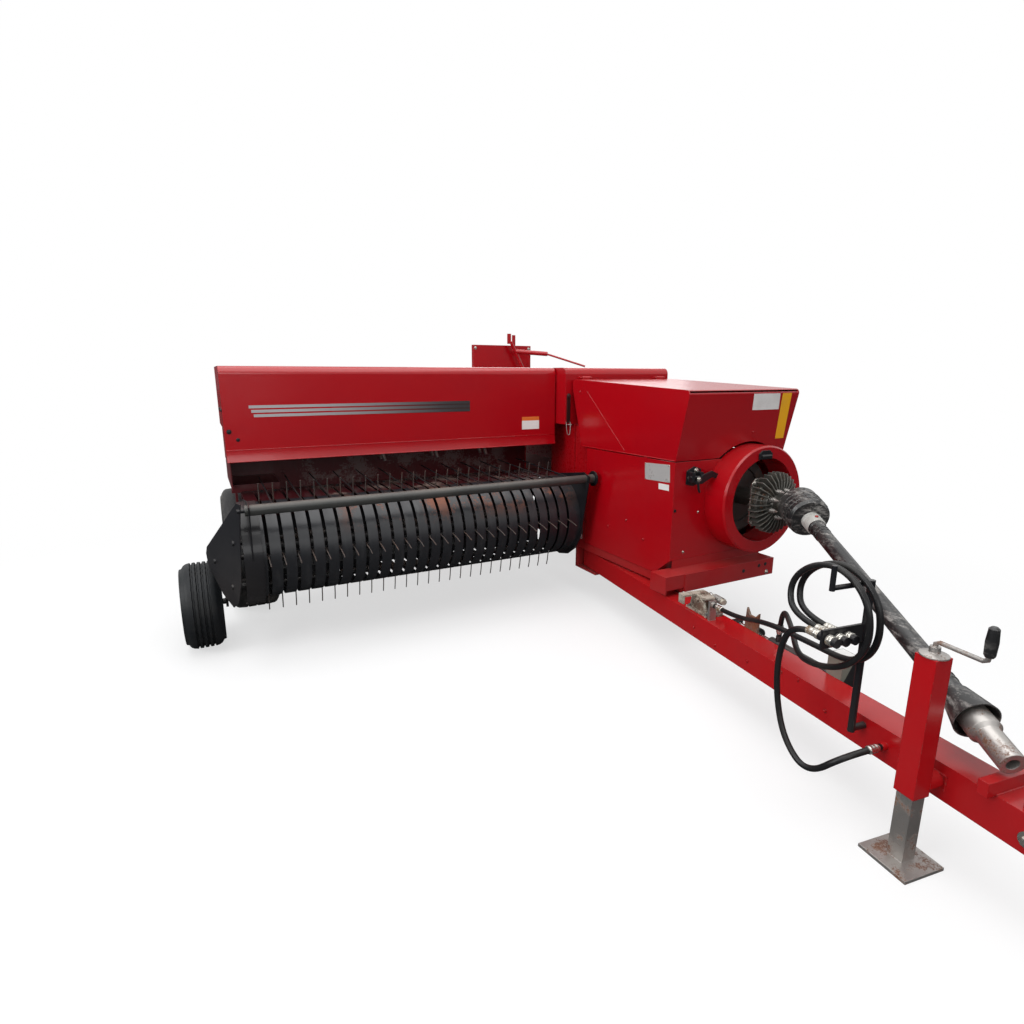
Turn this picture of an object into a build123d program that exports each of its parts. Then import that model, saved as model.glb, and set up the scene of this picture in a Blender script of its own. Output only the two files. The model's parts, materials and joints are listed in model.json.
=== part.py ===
from build123d import *
from math import asin, atan2, cos, degrees, pi, radians, sin, tan
import os

# Square baler, in millimetres. +X is the machine's left, -Y its front, +Z up.
# Every size is taken from three lines: the bale chamber's centre line (X 0),
# the wheel axle (Y 0) and the ground (Z 0). The last section moves the whole
# machine so that its plan is centred on the origin.

# Bale chamber, a 14 by 18 inch duct
BALE_W = 457.0
BALE_H = 356.0
CHAMBER_WALL = 6.0
CHAMBER_FLOOR_Z = 700.0
CHAMBER_FRONT_Y = -880.0
CHAMBER_REAR_Y = 1620.0
KNOT_Y = 790.0

# Wheels
TYRE_R = 360.0
TYRE_W = 265.0
TRACK_LEFT_X = 470.0
TRACK_RIGHT_X = -2120.0
GAUGE_R = 220.0
GAUGE_W = 185.0
GAUGE_X = -2396.0
GAUGE_Y = -520.0
AXLE_SIZE = 90.0
RUN = 0.05
SEAT = 0.3

# Main frame
RAIL = 60.0
RAIL_Z = 310.0
RAIL_RIGHT_X = -265.0
RAIL_LEFT_X = 200.0
GUIDE_Y = -1696.0
GUIDE_T = 14.0
GUIDE_Z = 313.0
GUIDE_H = 91.0

# Shield in front of the chamber, and the hood over it
SHIELD_X0 = -270.0
SHIELD_X1 = 490.0
SHIELD_FRONT_Y = -1610.0
SHIELD_REAR_Y = -850.0
SHIELD_LOW_Z = 357.0
SHIELD_SEAM_Z = 952.0
SHEET = 5.0
HOOD_TOP_FRONT_Z = 1300.0
HOOD_TOP_REAR_Z = 1346.0
HOOD_LEAN = 72.0
HOOD_REAR_Y = -680.0

# Driveline
DRIVE_X = 220.0
DRIVE_Z = 742.0
HOOP_R = 280.0
HOOP_LIP = 62.0
HOOP_FRONT_Y = -1740.0
CLUTCH_Y = -1795.0
CV_Y = -1960.0
CV_GAP = 28.3
SHAFT_SWING = 31.0
SHAFT_LENGTH = 1500.0
SHAFT_END_Z = 381.66
SHAFT_DROP = degrees(asin((DRIVE_Z - SHAFT_END_Z) / SHAFT_LENGTH))
PTO_BORE_R = 17.5
PTO_BORE_LENGTH = 80.0

# Tongue, folded to its transport place
TONGUE_W = 120.0
TONGUE_H = 110.0
TONGUE_Z = 190.0
TONGUE_PIVOT = (-178.0, -880.0)
TONGUE_ANGLE = 8.17
TONGUE_REACH = 2728.0
PIVOT_PIN_R = 24.0
HITCH_BORE_R = 16.0
LATCH_AT = 975.0
JACK_AT = TONGUE_REACH - 528.0
JACK_SIDE = -150.0
JACK_W = 60.0
SHAFT_REST_AT = TONGUE_REACH - 388.0
SHAFT_REST_Z = 341.0

# Pickup
REEL_Y = -690.0
REEL_Z = 525.0
REEL_TIP_R = 330.0
REEL_BAR_R = 190.0
TINE_PITCH = 66.0
TINE_COUNT = 26
TINE_X0 = -2094.0
TINE_D = 6.0
BAND_R = 240.0
BAND_W = 50.0
BAND_T = 3.0
PICKUP_RIGHT_X = -2160.0
PICKUP_LEFT_X = -360.0
PICKUP_REAR_Y = -420.0
PICKUP_PIVOT_Y = -310.0
PICKUP_PIVOT_Z = 620.0
GUARD_Y = -970.0
GUARD_Z = 780.0
GUARD_R = 25.0
GUARD_PIN_R = 10.0
FLARE_X0 = -2200.0
FLARE_X1 = -2350.0
FLARE_Y1 = -660.0
PIVOT_LUG_R = 26.0
LIFT_PIN_R = 12.0
REEL_SHAFT_R = 24.0
FINGER_R = 3.5

# Feeder
FEEDER_X0 = -2203.0
FEEDER_X1 = -316.0
FEEDER_FLOOR_X0 = -1960.0
FEEDER_FRONT_Y = -340.0
COVER_X0 = -2214.0
COVER_X1 = -322.0
COVER_FRONT_Y = -560.0
COVER_LOW_Z = 945.0
COVER_TOP_Z = 1414.0
COVER_HINGE_Y = -14.0
COVER_HINGE_Z = 1400.0
COVER_HINGE_XS = (-1970.0, -1270.0, -570.0)
HINGE_PIN_R = 6.0
COVER_ROLL_R = 40.0


def block(x0, x1, y0, y1, z0, z1):
    return Pos((x0 + x1) / 2, (y0 + y1) / 2, (z0 + z1) / 2) * Box(x1 - x0, y1 - y0, z1 - z0)


def bar_x(r, x0, x1, y, z):
    return Pos((x0 + x1) / 2, y, z) * Rot(0, 90, 0) * Cylinder(r, x1 - x0)


def bar_y(r, y0, y1, x, z):
    return Pos(x, (y0 + y1) / 2, z) * Rot(90, 0, 0) * Cylinder(r, y1 - y0)


def bar_z(r, z0, z1, x, y):
    return Pos(x, y, (z0 + z1) / 2) * Cylinder(r, z1 - z0)


def sheet_x(points, x0, x1):
    """A (y, z) outline run along X."""
    return extrude(Plane.YZ.offset(x0) * Polygon(*points, align=None), x1 - x0, dir=(1, 0, 0))


def rod(r, start, end):
    """A round bar between two points."""
    axis = Vector(*end) - Vector(*start)
    plane = Plane(origin=start, z_dir=axis)
    return plane * Pos(0, 0, axis.length / 2) * Cylinder(r, axis.length)


def turned_x(profile):
    """A (radius, x) outline turned about the X axis through the origin."""
    points = [(x, r) for r, x in profile]
    return revolve(Plane.XY * Polygon(*points, align=None), Axis.X)


def turned_y(profile):
    """A (radius, y) outline turned about the Y axis through the origin."""
    return revolve(Plane.XY * Polygon(*profile, align=None), Axis.Y)


def join(first, *others):
    shape = first
    for other in others:
        shape += other
    return shape


# Wheels


def tyre(r, w, bore_r, grooves):
    """Implement tyre with straight ribs round its tread."""
    groove_w = 9.0
    groove_d = 10.0
    shoulder = w * 0.16
    tread = [(r - 26, -w / 2 + 6), (r - 5, -w / 2 + shoulder)]
    span = w - 2 * shoulder
    for n in range(grooves):
        at = -span / 2 + span * (n + 1) / (grooves + 1)
        tread += [
            (r, at - groove_w / 2),
            (r - groove_d, at - groove_w / 2),
            (r - groove_d, at + groove_w / 2),
            (r, at + groove_w / 2),
        ]
    tread += [(r - 5, w / 2 - shoulder), (r - 26, w / 2 - 6)]
    wall = [(r - 70, w / 2), (bore_r + 14, w / 2 - 24), (bore_r, w / 2 - 34)]
    return turned_x([(bore_r, -w / 2 + 34), (bore_r + 14, -w / 2 + 24), (r - 70, -w / 2)] + tread + wall)


def rim(bore_r, w, hub_r, axle_r, hub_in, hub_out):
    """Drop-centre rim, dished disc and hub, open to both sides round the hub."""
    seat = w / 2 - 34
    gap = 0.3
    barrel = turned_x([
        (bore_r - gap, -seat), (bore_r - gap, -0.60 * seat), (bore_r - 24, -0.38 * seat),
        (bore_r - 24, 0.38 * seat), (bore_r - gap, 0.60 * seat), (bore_r - gap, seat),
        (bore_r - 6, seat), (bore_r - 6, 0.56 * seat), (bore_r - 30, 0.35 * seat),
        (bore_r - 30, -0.35 * seat), (bore_r - 6, -0.56 * seat), (bore_r - 6, -seat),
    ])
    disc = turned_x([
        (bore_r - 26, -10), (bore_r - 26, 0), (hub_r + 30, 26), (hub_r - 4, 26), (hub_r - 4, 16), (hub_r + 26, 16),
    ])
    hub = bar_x(hub_r, hub_in, hub_out, 0, 0) - bar_x(axle_r, hub_in - 1, hub_out - 16, 0, 0)
    return join(barrel, disc, hub)


RIM_R = 185.0
GAUGE_RIM_R = 105.0
SPINDLE_R = 28.0
GAUGE_SPINDLE_R = 15.0


def main_wheels():
    nodes = {}
    hub_in = -TYRE_W / 2 + 20
    hub_out = 78.0
    for name, x, outward in (("left", TRACK_LEFT_X, 1), ("right", TRACK_RIGHT_X, -1)):
        turn = Rot(0, 0, 0 if outward > 0 else 180)
        nodes[name + "_tyre"] = Pos(x, 0, TYRE_R) * turn * tyre(TYRE_R, TYRE_W, RIM_R, 3)
        wheel = rim(RIM_R, TYRE_W, 52, SPINDLE_R + RUN, hub_in, hub_out)
        for n in range(6):
            angle = radians(60 * n)
            wheel += bar_x(9, 24, 40, 72 * cos(angle), 72 * sin(angle))
        nodes[name + "_rim"] = Pos(x, 0, TYRE_R) * turn * wheel
    return nodes


def gauge_wheel():
    turn = Rot(0, 0, 180)
    wheel = rim(GAUGE_RIM_R, GAUGE_W, 34, GAUGE_SPINDLE_R + RUN, -GAUGE_W / 2 + 8, 60)
    return {
        "gauge_tyre": Pos(GAUGE_X, GAUGE_Y, GAUGE_R) * turn * tyre(GAUGE_R, GAUGE_W, GAUGE_RIM_R, 4),
        "gauge_rim": Pos(GAUGE_X, GAUGE_Y, GAUGE_R) * turn * wheel,
    }


# Main frame and chamber

HALF_W = BALE_W / 2
CHAMBER_X = HALF_W + CHAMBER_WALL
CHAMBER_TOP_Z = CHAMBER_FLOOR_Z + BALE_H
CHAMBER_LOW_Z = CHAMBER_FLOOR_Z - CHAMBER_WALL
RAIL_TOP_Z = RAIL_Z + RAIL
GUIDE_X0 = -250.0
GUIDE_X1 = 380.0
CATCH_X = -372.0


def main_frame():
    half = AXLE_SIZE / 2
    axle_x0 = TRACK_RIGHT_X + TYRE_W / 2 + 10
    axle_x1 = TRACK_LEFT_X - TYRE_W / 2 - 10
    frame = block(axle_x0, axle_x1, -half, half, TYRE_R - half, TYRE_R + half)
    for x0 in (RAIL_RIGHT_X, RAIL_LEFT_X):
        frame += block(x0, x0 + RAIL, GUIDE_Y, -half + 1, RAIL_Z, RAIL_TOP_Z)
        frame += block(x0, x0 + RAIL, CHAMBER_FRONT_Y, CHAMBER_FRONT_Y + RAIL, RAIL_TOP_Z - 1, CHAMBER_LOW_Z)
    frame += block(GUIDE_X0, GUIDE_X1, GUIDE_Y - GUIDE_T, GUIDE_Y + 1, GUIDE_Z, GUIDE_Z + GUIDE_H)
    # Catch housing on the beam's right end, over the folded tongue
    catch_y = GUIDE_Y - 8
    frame += block(CATCH_X, GUIDE_X0 + 1, catch_y, catch_y + 114, GUIDE_Z + GUIDE_H - 8, GUIDE_Z + GUIDE_H)
    frame += block(CATCH_X, GUIDE_X0 + 1, catch_y, GUIDE_Y + 1, GUIDE_Z + 20, GUIDE_Z + GUIDE_H - 7)
    frame += block(CATCH_X, CATCH_X + 8, catch_y, catch_y + 114, GUIDE_Z, GUIDE_Z + GUIDE_H - 7)
    # Gussets between axle and chamber, and the leg under the feeder's far end
    for x0 in (-CHAMBER_X, CHAMBER_X - 50):
        frame += block(x0, x0 + 50, -40, 40, TYRE_R + half - 1, CHAMBER_LOW_Z)
    frame += block(FEEDER_FLOOR_X0, FEEDER_FLOOR_X0 + 60, -40, 20, TYRE_R + half - 1, CHAMBER_LOW_Z)
    # Spindles
    for x, inner, outward in ((TRACK_LEFT_X, axle_x1, 1), (TRACK_RIGHT_X, axle_x0, -1)):
        end = x + outward * 60
        frame += bar_x(SPINDLE_R, min(inner - outward * 20, end), max(inner - outward * 20, end), 0, TYRE_R)
    # Tongue pivot: plate over the rails, strap under the tongue and a pin
    px, py = TONGUE_PIVOT
    plate_t = 14.0
    low_z = TONGUE_Z - 6 - plate_t
    frame += block(RAIL_RIGHT_X, RAIL_LEFT_X + RAIL, py - 110, py + 150, RAIL_Z, RAIL_Z + plate_t)
    frame += block(px - 75, px + 75, py - 70, py + 150, low_z, low_z + plate_t)
    frame += block(px - 75, px + 75, py + 130, py + 150, low_z, RAIL_Z + 1)
    frame += bar_z(PIVOT_PIN_R, low_z, RAIL_TOP_Z, px, py)
    return {"main_frame": frame}


CHUTE_HINGE_Y = CHAMBER_REAR_Y + 30
CHUTE_HINGE_Z = CHAMBER_LOW_Z - 26
CHUTE_HALF = 212.0
CHUTE_LUG_X = CHUTE_HALF + 7
CHUTE_DROP = 14.0
CHUTE_PIN_R = 14.0
SLOT_W = 34.0
NEEDLE_X = 95.0
NEEDLE_PIVOT_Y = KNOT_Y - 290.0
NEEDLE_PIVOT_Z = 690.0
NEEDLE_R = 500.0
NEEDLE_HALF = 11.0
STAR_Y = 1110.0
RIB_YS = (-655.0, 230.0, 930.0)
RIB_OUT = 10.0


def bale_chamber():
    y0, y1 = CHAMBER_FRONT_Y, CHAMBER_REAR_Y
    wall = CHAMBER_WALL
    feed_y0, feed_y1 = -380.0, -10.0
    floor = block(-CHAMBER_X, CHAMBER_X, y0, y1, CHAMBER_LOW_Z, CHAMBER_FLOOR_Z)
    roof = block(-CHAMBER_X, CHAMBER_X, y0, y1, CHAMBER_TOP_Z, CHAMBER_TOP_Z + wall)
    left = block(HALF_W, CHAMBER_X, y0, y1, CHAMBER_LOW_Z, CHAMBER_TOP_Z + wall)
    right = block(-CHAMBER_X, -HALF_W, y0, y1, CHAMBER_LOW_Z, CHAMBER_TOP_Z + wall)
    duct = join(floor, roof, left, right)
    # Feed opening in the right wall, long slots in the walls behind the knotters
    duct -= block(-CHAMBER_X - 1, -HALF_W + 1, feed_y0, feed_y1, CHAMBER_FLOOR_Z + 10, CHAMBER_TOP_Z - 20)
    for side in (-1, 1):
        x0 = side * (HALF_W + wall / 2)
        duct -= block(x0 - wall, x0 + wall, 960, y1 + 1, CHAMBER_FLOOR_Z + 120, CHAMBER_TOP_Z - 120)
    for x in (-NEEDLE_X, NEEDLE_X):
        half = SLOT_W / 2
        duct -= block(x - half, x + half, KNOT_Y + 170, KNOT_Y + 260, CHAMBER_LOW_Z - 1, CHAMBER_FLOOR_Z + 1)
        duct -= block(x - half, x + half, KNOT_Y - 20, KNOT_Y + 92, CHAMBER_TOP_Z - 1, CHAMBER_TOP_Z + wall + 1)
    duct -= block(-SLOT_W / 2, SLOT_W / 2, STAR_Y - 135, STAR_Y + 135, CHAMBER_TOP_Z - 1, CHAMBER_TOP_Z + wall + 1)
    # Corner angles and upright ribs round the duct
    for y in RIB_YS:
        outer = block(-CHAMBER_X - RIB_OUT, CHAMBER_X + RIB_OUT, y - 20, y + 20,
                      CHAMBER_LOW_Z - RIB_OUT, CHAMBER_TOP_Z + wall + RIB_OUT)
        duct += outer - block(-CHAMBER_X + 1, CHAMBER_X - 1, y - 21, y + 21, CHAMBER_LOW_Z + 1, CHAMBER_TOP_Z + wall - 1)
    for x in (-CHAMBER_X, CHAMBER_X):
        duct += bar_x(15, x - 30 if x < 0 else x - 1, x + 1 if x < 0 else x + 30, NEEDLE_PIVOT_Y, NEEDLE_PIVOT_Z)
    # Lugs under the tail that the chute hangs on
    for x0 in (-CHUTE_LUG_X - 12, CHUTE_LUG_X):
        duct += block(x0, x0 + 12, CHUTE_HINGE_Y - 80, CHUTE_HINGE_Y, CHUTE_HINGE_Z - 18, CHAMBER_LOW_Z + 1)
        duct += bar_x(26, x0, x0 + 12, CHUTE_HINGE_Y, CHUTE_HINGE_Z)
    duct -= bar_x(CHUTE_PIN_R + RUN, -CHUTE_LUG_X - 13, CHUTE_LUG_X + 13, CHUTE_HINGE_Y, CHUTE_HINGE_Z)
    return {"bale_chamber": duct}


def tension_frame():
    """Two yokes round the chamber's tail, with the spring cranks over them."""
    nodes = {}
    bar = 40.0
    gap = SEAT
    x = CHAMBER_X + gap
    z0 = CHAMBER_LOW_Z - gap
    z1 = CHAMBER_TOP_Z + CHAMBER_WALL + gap
    yokes = None
    for y in (1270.0, 1530.0):
        outer = block(-x - bar, x + bar, y - 25, y + 25, z0 - bar, z1 + bar)
        ring = outer - block(-x, x, y - 26, y + 26, z0, z1)
        yokes = ring if yokes is None else yokes + ring
    for side in (-1, 1):
        yokes += block(side * (x + 20) - 12, side * (x + 20) + 12, 1270, 1530, z1 + bar - 1, z1 + bar + 24)
    nodes["tension_yokes"] = yokes
    cranks = None
    for side in (-1, 1):
        cx = side * 120
        top = z1 + bar + 0.3
        one = bar_z(11, top, top + 250, cx, 1400 + 130)
        one += bar_z(26, top + 20, top + 150, cx, 1400 + 130)
        one += bar_z(18, top + 160, top + 178, cx, 1400 + 130)
        one += bar_x(9, cx - 90, cx, 1530, top + 245)
        one += bar_z(12, top + 236, top + 300, cx - 90, 1530)
        cranks = one if cranks is None else cranks + one
    nodes["tension_cranks"] = cranks
    return nodes


def star_wheel():
    r_tip, r_root = 105.0, 74.0
    points = []
    teeth = 10
    for n in range(teeth):
        a = 2 * pi * n / teeth
        step = pi / teeth
        points.append((r_tip * sin(a), r_tip * cos(a)))
        points.append((r_root * sin(a + step), r_root * cos(a + step)))
    z = CHAMBER_TOP_Z + 55
    wheel = Pos(0, STAR_Y, z) * sheet_x(points, -5, 5)
    wheel += bar_x(28, -24, 24, STAR_Y, z)
    wheel -= bar_x(12 + RUN, -30, 30, STAR_Y, z)
    arm_x = 30.0
    axle = bar_x(12, -arm_x - 14, arm_x + 14, STAR_Y, z)
    for x in (-arm_x, arm_x):
        axle += block(x - 5, x + 5, STAR_Y - 30, STAR_Y + 130, CHAMBER_TOP_Z + CHAMBER_WALL, z + 25)
    return {"star_wheel": wheel, "star_bracket": axle}


# Shield, hood and hoop

HOOD_SEAM_GAP = 4.0
HOOD_HINGE_Y = HOOD_REAR_Y - 4
HOOD_HINGE_Z = HOOD_TOP_REAR_Z + 8
HOOD_HINGE_XS = (-180.0, 400.0)
SMALL_PIN_R = 4.0
KNUCKLE_HALF = 28.0
HOOP_NOTCH = 12.0


def front_shield():
    """Open-backed box of sheet round the gearbox and flywheel."""
    chamfer_y, chamfer_z = 110.0, 92.0
    outline = [
        (SHIELD_REAR_Y, SHIELD_LOW_Z), (SHIELD_REAR_Y, SHIELD_SEAM_Z - 8), (SHIELD_FRONT_Y, SHIELD_SEAM_Z),
        (SHIELD_FRONT_Y, SHIELD_LOW_Z + chamfer_z), (SHIELD_FRONT_Y + chamfer_y, SHIELD_LOW_Z),
    ]
    inner = [
        (SHIELD_REAR_Y + 1, SHIELD_LOW_Z - 1), (SHIELD_REAR_Y + 1, SHIELD_SEAM_Z + 1),
        (SHIELD_FRONT_Y + SHEET, SHIELD_SEAM_Z + 1), (SHIELD_FRONT_Y + SHEET, SHIELD_LOW_Z + chamfer_z + 2),
        (SHIELD_FRONT_Y + chamfer_y + 4, SHIELD_LOW_Z - 1),
    ]
    box = sheet_x(outline, SHIELD_X0, SHIELD_X1) - sheet_x(inner, SHIELD_X0 + SHEET, SHIELD_X1 - SHEET)
    box -= bar_y(HOOP_R - HOOP_LIP, SHIELD_FRONT_Y - 1, SHIELD_FRONT_Y + 30, DRIVE_X, DRIVE_Z)
    for x0 in (RAIL_RIGHT_X, RAIL_LEFT_X):
        box -= block(x0, x0 + RAIL + SEAT, SHIELD_FRONT_Y - 1, SHIELD_REAR_Y + 1, SHIELD_LOW_Z - 1, RAIL_TOP_Z + SEAT)
    # Pads that the hood rests on
    for y in (-1400.0, -1000.0):
        top = SHIELD_SEAM_Z + HOOD_SEAM_GAP - 8 * (y + 30 - SHIELD_FRONT_Y) / (SHIELD_REAR_Y + 60 - SHIELD_FRONT_Y)
        for x0 in (SHIELD_X0, SHIELD_X1 - SHEET):
            box += block(x0, x0 + SHEET, y, y + 30, SHIELD_SEAM_Z - 40, top - SEAT)
    box -= block(SHIELD_X0 + SHEET, SHIELD_X1 - SHEET, CHAMBER_FRONT_Y - SEAT, SHIELD_REAR_Y + 1, SHIELD_LOW_Z, SHIELD_SEAM_Z)
    return {"front_shield": box}


def shield_hoop():
    """Round guard in front of the shield, open at its middle."""
    depth = SHIELD_FRONT_Y - HOOP_FRONT_Y
    wall = 6.0
    ring = turned_y([
        (HOOP_R - HOOP_LIP, 0), (HOOP_R - 8, 0), (HOOP_R, 8), (HOOP_R, depth - 0.3), (HOOP_R - wall, depth - 0.3),
        (HOOP_R - wall, wall + 8), (HOOP_R - 14, wall), (HOOP_R - HOOP_LIP + wall, wall),
        (HOOP_R - HOOP_LIP + wall, depth - 0.3), (HOOP_R - HOOP_LIP, depth - 0.3),
    ])
    return {"shield_hoop": Pos(DRIVE_X, HOOP_FRONT_Y, DRIVE_Z) * ring}


def hood():
    low = SHIELD_SEAM_Z + HOOD_SEAM_GAP
    outline = [
        (SHIELD_REAR_Y + 60, low - 8), (HOOD_REAR_Y, HOOD_TOP_REAR_Z - 60), (HOOD_REAR_Y, HOOD_TOP_REAR_Z),
        (SHIELD_FRONT_Y - HOOD_LEAN, HOOD_TOP_FRONT_Z), (SHIELD_FRONT_Y, low),
    ]
    t = SHEET
    inner = [
        (SHIELD_REAR_Y + 60 + 1, low - 20), (HOOD_REAR_Y + 1, HOOD_TOP_REAR_Z - 62),
        (HOOD_REAR_Y + 1, HOOD_TOP_REAR_Z - t), (SHIELD_FRONT_Y - HOOD_LEAN + t, HOOD_TOP_FRONT_Z - t),
        (SHIELD_FRONT_Y + t, low - 20),
    ]
    solid = sheet_x(outline, SHIELD_X0, SHIELD_X1)
    rounded = solid.edges().filter_by(Axis.X).sort_by(Axis.Z)[-2:]
    solid = fillet(rounded, 22)
    shell = solid - sheet_x(inner, SHIELD_X0 + t, SHIELD_X1 - t)
    shell -= bar_y(HOOP_R + HOOP_NOTCH, SHIELD_FRONT_Y - HOOD_LEAN - 1, SHIELD_FRONT_Y + 60, DRIVE_X, DRIVE_Z)
    for x in HOOD_HINGE_XS:
        half = KNUCKLE_HALF
        shell += block(x - half, x + half, HOOD_HINGE_Y - 8, HOOD_REAR_Y, HOOD_TOP_REAR_Z - 4, HOOD_HINGE_Z)
        shell += bar_x(9, x - half, x + half, HOOD_HINGE_Y, HOOD_HINGE_Z)
        shell -= bar_x(SMALL_PIN_R + RUN, x - half - 1, x + half + 1, HOOD_HINGE_Y, HOOD_HINGE_Z)
    return {"hood": shell}


def gearbox():
    """Heavy block of gears behind the flywheel, and the flywheel's fixed bearing."""
    box = block(DRIVE_X - 190, DRIVE_X + 190, -1480, -1020, RAIL_TOP_Z + 70, DRIVE_Z + 190)
    feet = block(RAIL_LEFT_X, DRIVE_X + 190, -1460, -1040, RAIL_TOP_Z, RAIL_TOP_Z + 71)
    nose = bar_y(60, -1518, -1479, DRIVE_X, DRIVE_Z)
    return {"gearbox": join(box, feet, nose) - bar_y(25 + RUN, -1521, -1440, DRIVE_X, DRIVE_Z)}


def flywheel():
    rim_r = HOOP_R - HOOP_LIP - 16
    disc = turned_y([(0, -10), (40, -10), (40, 0), (rim_r - 50, 0), (rim_r - 50, -14), (rim_r, -14), (rim_r, 46),
                     (rim_r - 50, 46), (rim_r - 50, 22), (50, 22), (50, 34), (25, 34), (25, 96), (0, 96)])
    return {"flywheel": Pos(DRIVE_X, -1558, DRIVE_Z) * disc}


def slip_clutch():
    """Slip clutch with radial cooling fins, a square back plate and spring bolts."""
    back = -1568.3
    y = CLUTCH_Y
    clutch = bar_y(46, y + 48, back, DRIVE_X, DRIVE_Z)
    clutch += block(DRIVE_X - 88, DRIVE_X + 88, y + 34, y + 49, DRIVE_Z - 88, DRIVE_Z + 88)
    clutch += bar_y(100, y - 14, y + 35, DRIVE_X, DRIVE_Z)
    clutch += bar_y(122, y - 6, y + 7, DRIVE_X, DRIVE_Z)
    clutch += bar_y(88, y - 34, y - 13, DRIVE_X, DRIVE_Z)
    fins = 32
    for n in range(fins):
        fin = block(98, 130, y - 18, y + 18, -2.5, 2.5)
        clutch += Pos(DRIVE_X, 0, DRIVE_Z) * Rot(0, 360.0 * n / fins, 0) * fin
    for n in range(8):
        a = radians(45 * n + 22.5)
        clutch += bar_y(9, y - 66, y - 33, DRIVE_X + 72 * cos(a), DRIVE_Z + 72 * sin(a))
    clutch += bar_y(34, CV_Y + CV_GAP, y - 33, DRIVE_X, DRIVE_Z)
    return {"slip_clutch": clutch}


def shaft_frame():
    """Plane whose Z axis runs along the drive shaft from the joint's centre."""
    a, d = radians(SHAFT_SWING), radians(SHAFT_DROP)
    along = Vector(-sin(a) * cos(d), -cos(a) * cos(d), -sin(d))
    return Plane(origin=(DRIVE_X, CV_Y, DRIVE_Z), z_dir=along)


def turned_z(profile):
    points = [(r, z) for r, z in profile]
    return revolve(Plane.XZ * Polygon(*points, align=None), Axis.Z)


def pto_shaft():
    at = shaft_frame()
    end = SHAFT_LENGTH
    guard = turned_z([
        (90, -40), (94, -40), (94, 98), (84, 112), (38, 118), (38, 205), (33, 210), (33, end - 262), (40, end - 250),
        (64, end - 150), (60, end - 150), (36, end - 246), (27, end - 258), (27, 124), (34, 113), (81, 107), (90, 96),
    ])
    inner = turned_z([
        (0, -28), (16, -23), (25, -13), (28, 0), (58, 34), (58, 88), (24, 100), (20, 110), (20, 140),
        (27 - RUN, 142), (27 - RUN, 170), (20, 172), (20, end - 236),
        (32, end - 226), (42, end - 196), (44, end - 110), (34, end - 100), (34, end), (PTO_BORE_R, end),
        (PTO_BORE_R, end - PTO_BORE_LENGTH), (0, end - PTO_BORE_LENGTH),
    ])
    # Upright screw that holds the front bell, over the joint's centre
    stud = bar_z(7, DRIVE_Z + 89, DRIVE_Z + 100, DRIVE_X, CV_Y)
    return {"pto_guard": at * guard + stud, "pto_drive": at * inner}


# Tongue group


def on_tongue(shape):
    """Moves a shape drawn with the pivot at the origin and the tongue along -Y."""
    px, py = TONGUE_PIVOT
    return Pos(px, py, 0) * Rot(0, 0, -TONGUE_ANGLE) * shape


def tongue_point(along, side, z):
    a = radians(TONGUE_ANGLE)
    x = side * cos(a) - along * sin(a)
    y = -side * sin(a) - along * cos(a)
    return (TONGUE_PIVOT[0] + x, TONGUE_PIVOT[1] + y, z)


TONGUE_TOP_Z = TONGUE_Z + TONGUE_H
HITCH_Z = 300.0
HOSE_R = 10.0
STAND_AT = TONGUE_REACH - 768.0
STAND_SIDE = -112.0
HOOK_Z = 760.0
HOOK_END = -266.0
COUPLER_SIDES = (-190.0, -226.0, -262.0)
COUPLER_Z = 600.0
COUPLER_FACE = STAND_AT - 24
GLAND_R = 13.0
LIFT_GLAND = (1160.0, -30.0, 372.0)
LOW_GLAND = (2040.0, 245.0)
PORT_AT = (1420.0, 92.0, 322.0)


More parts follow.
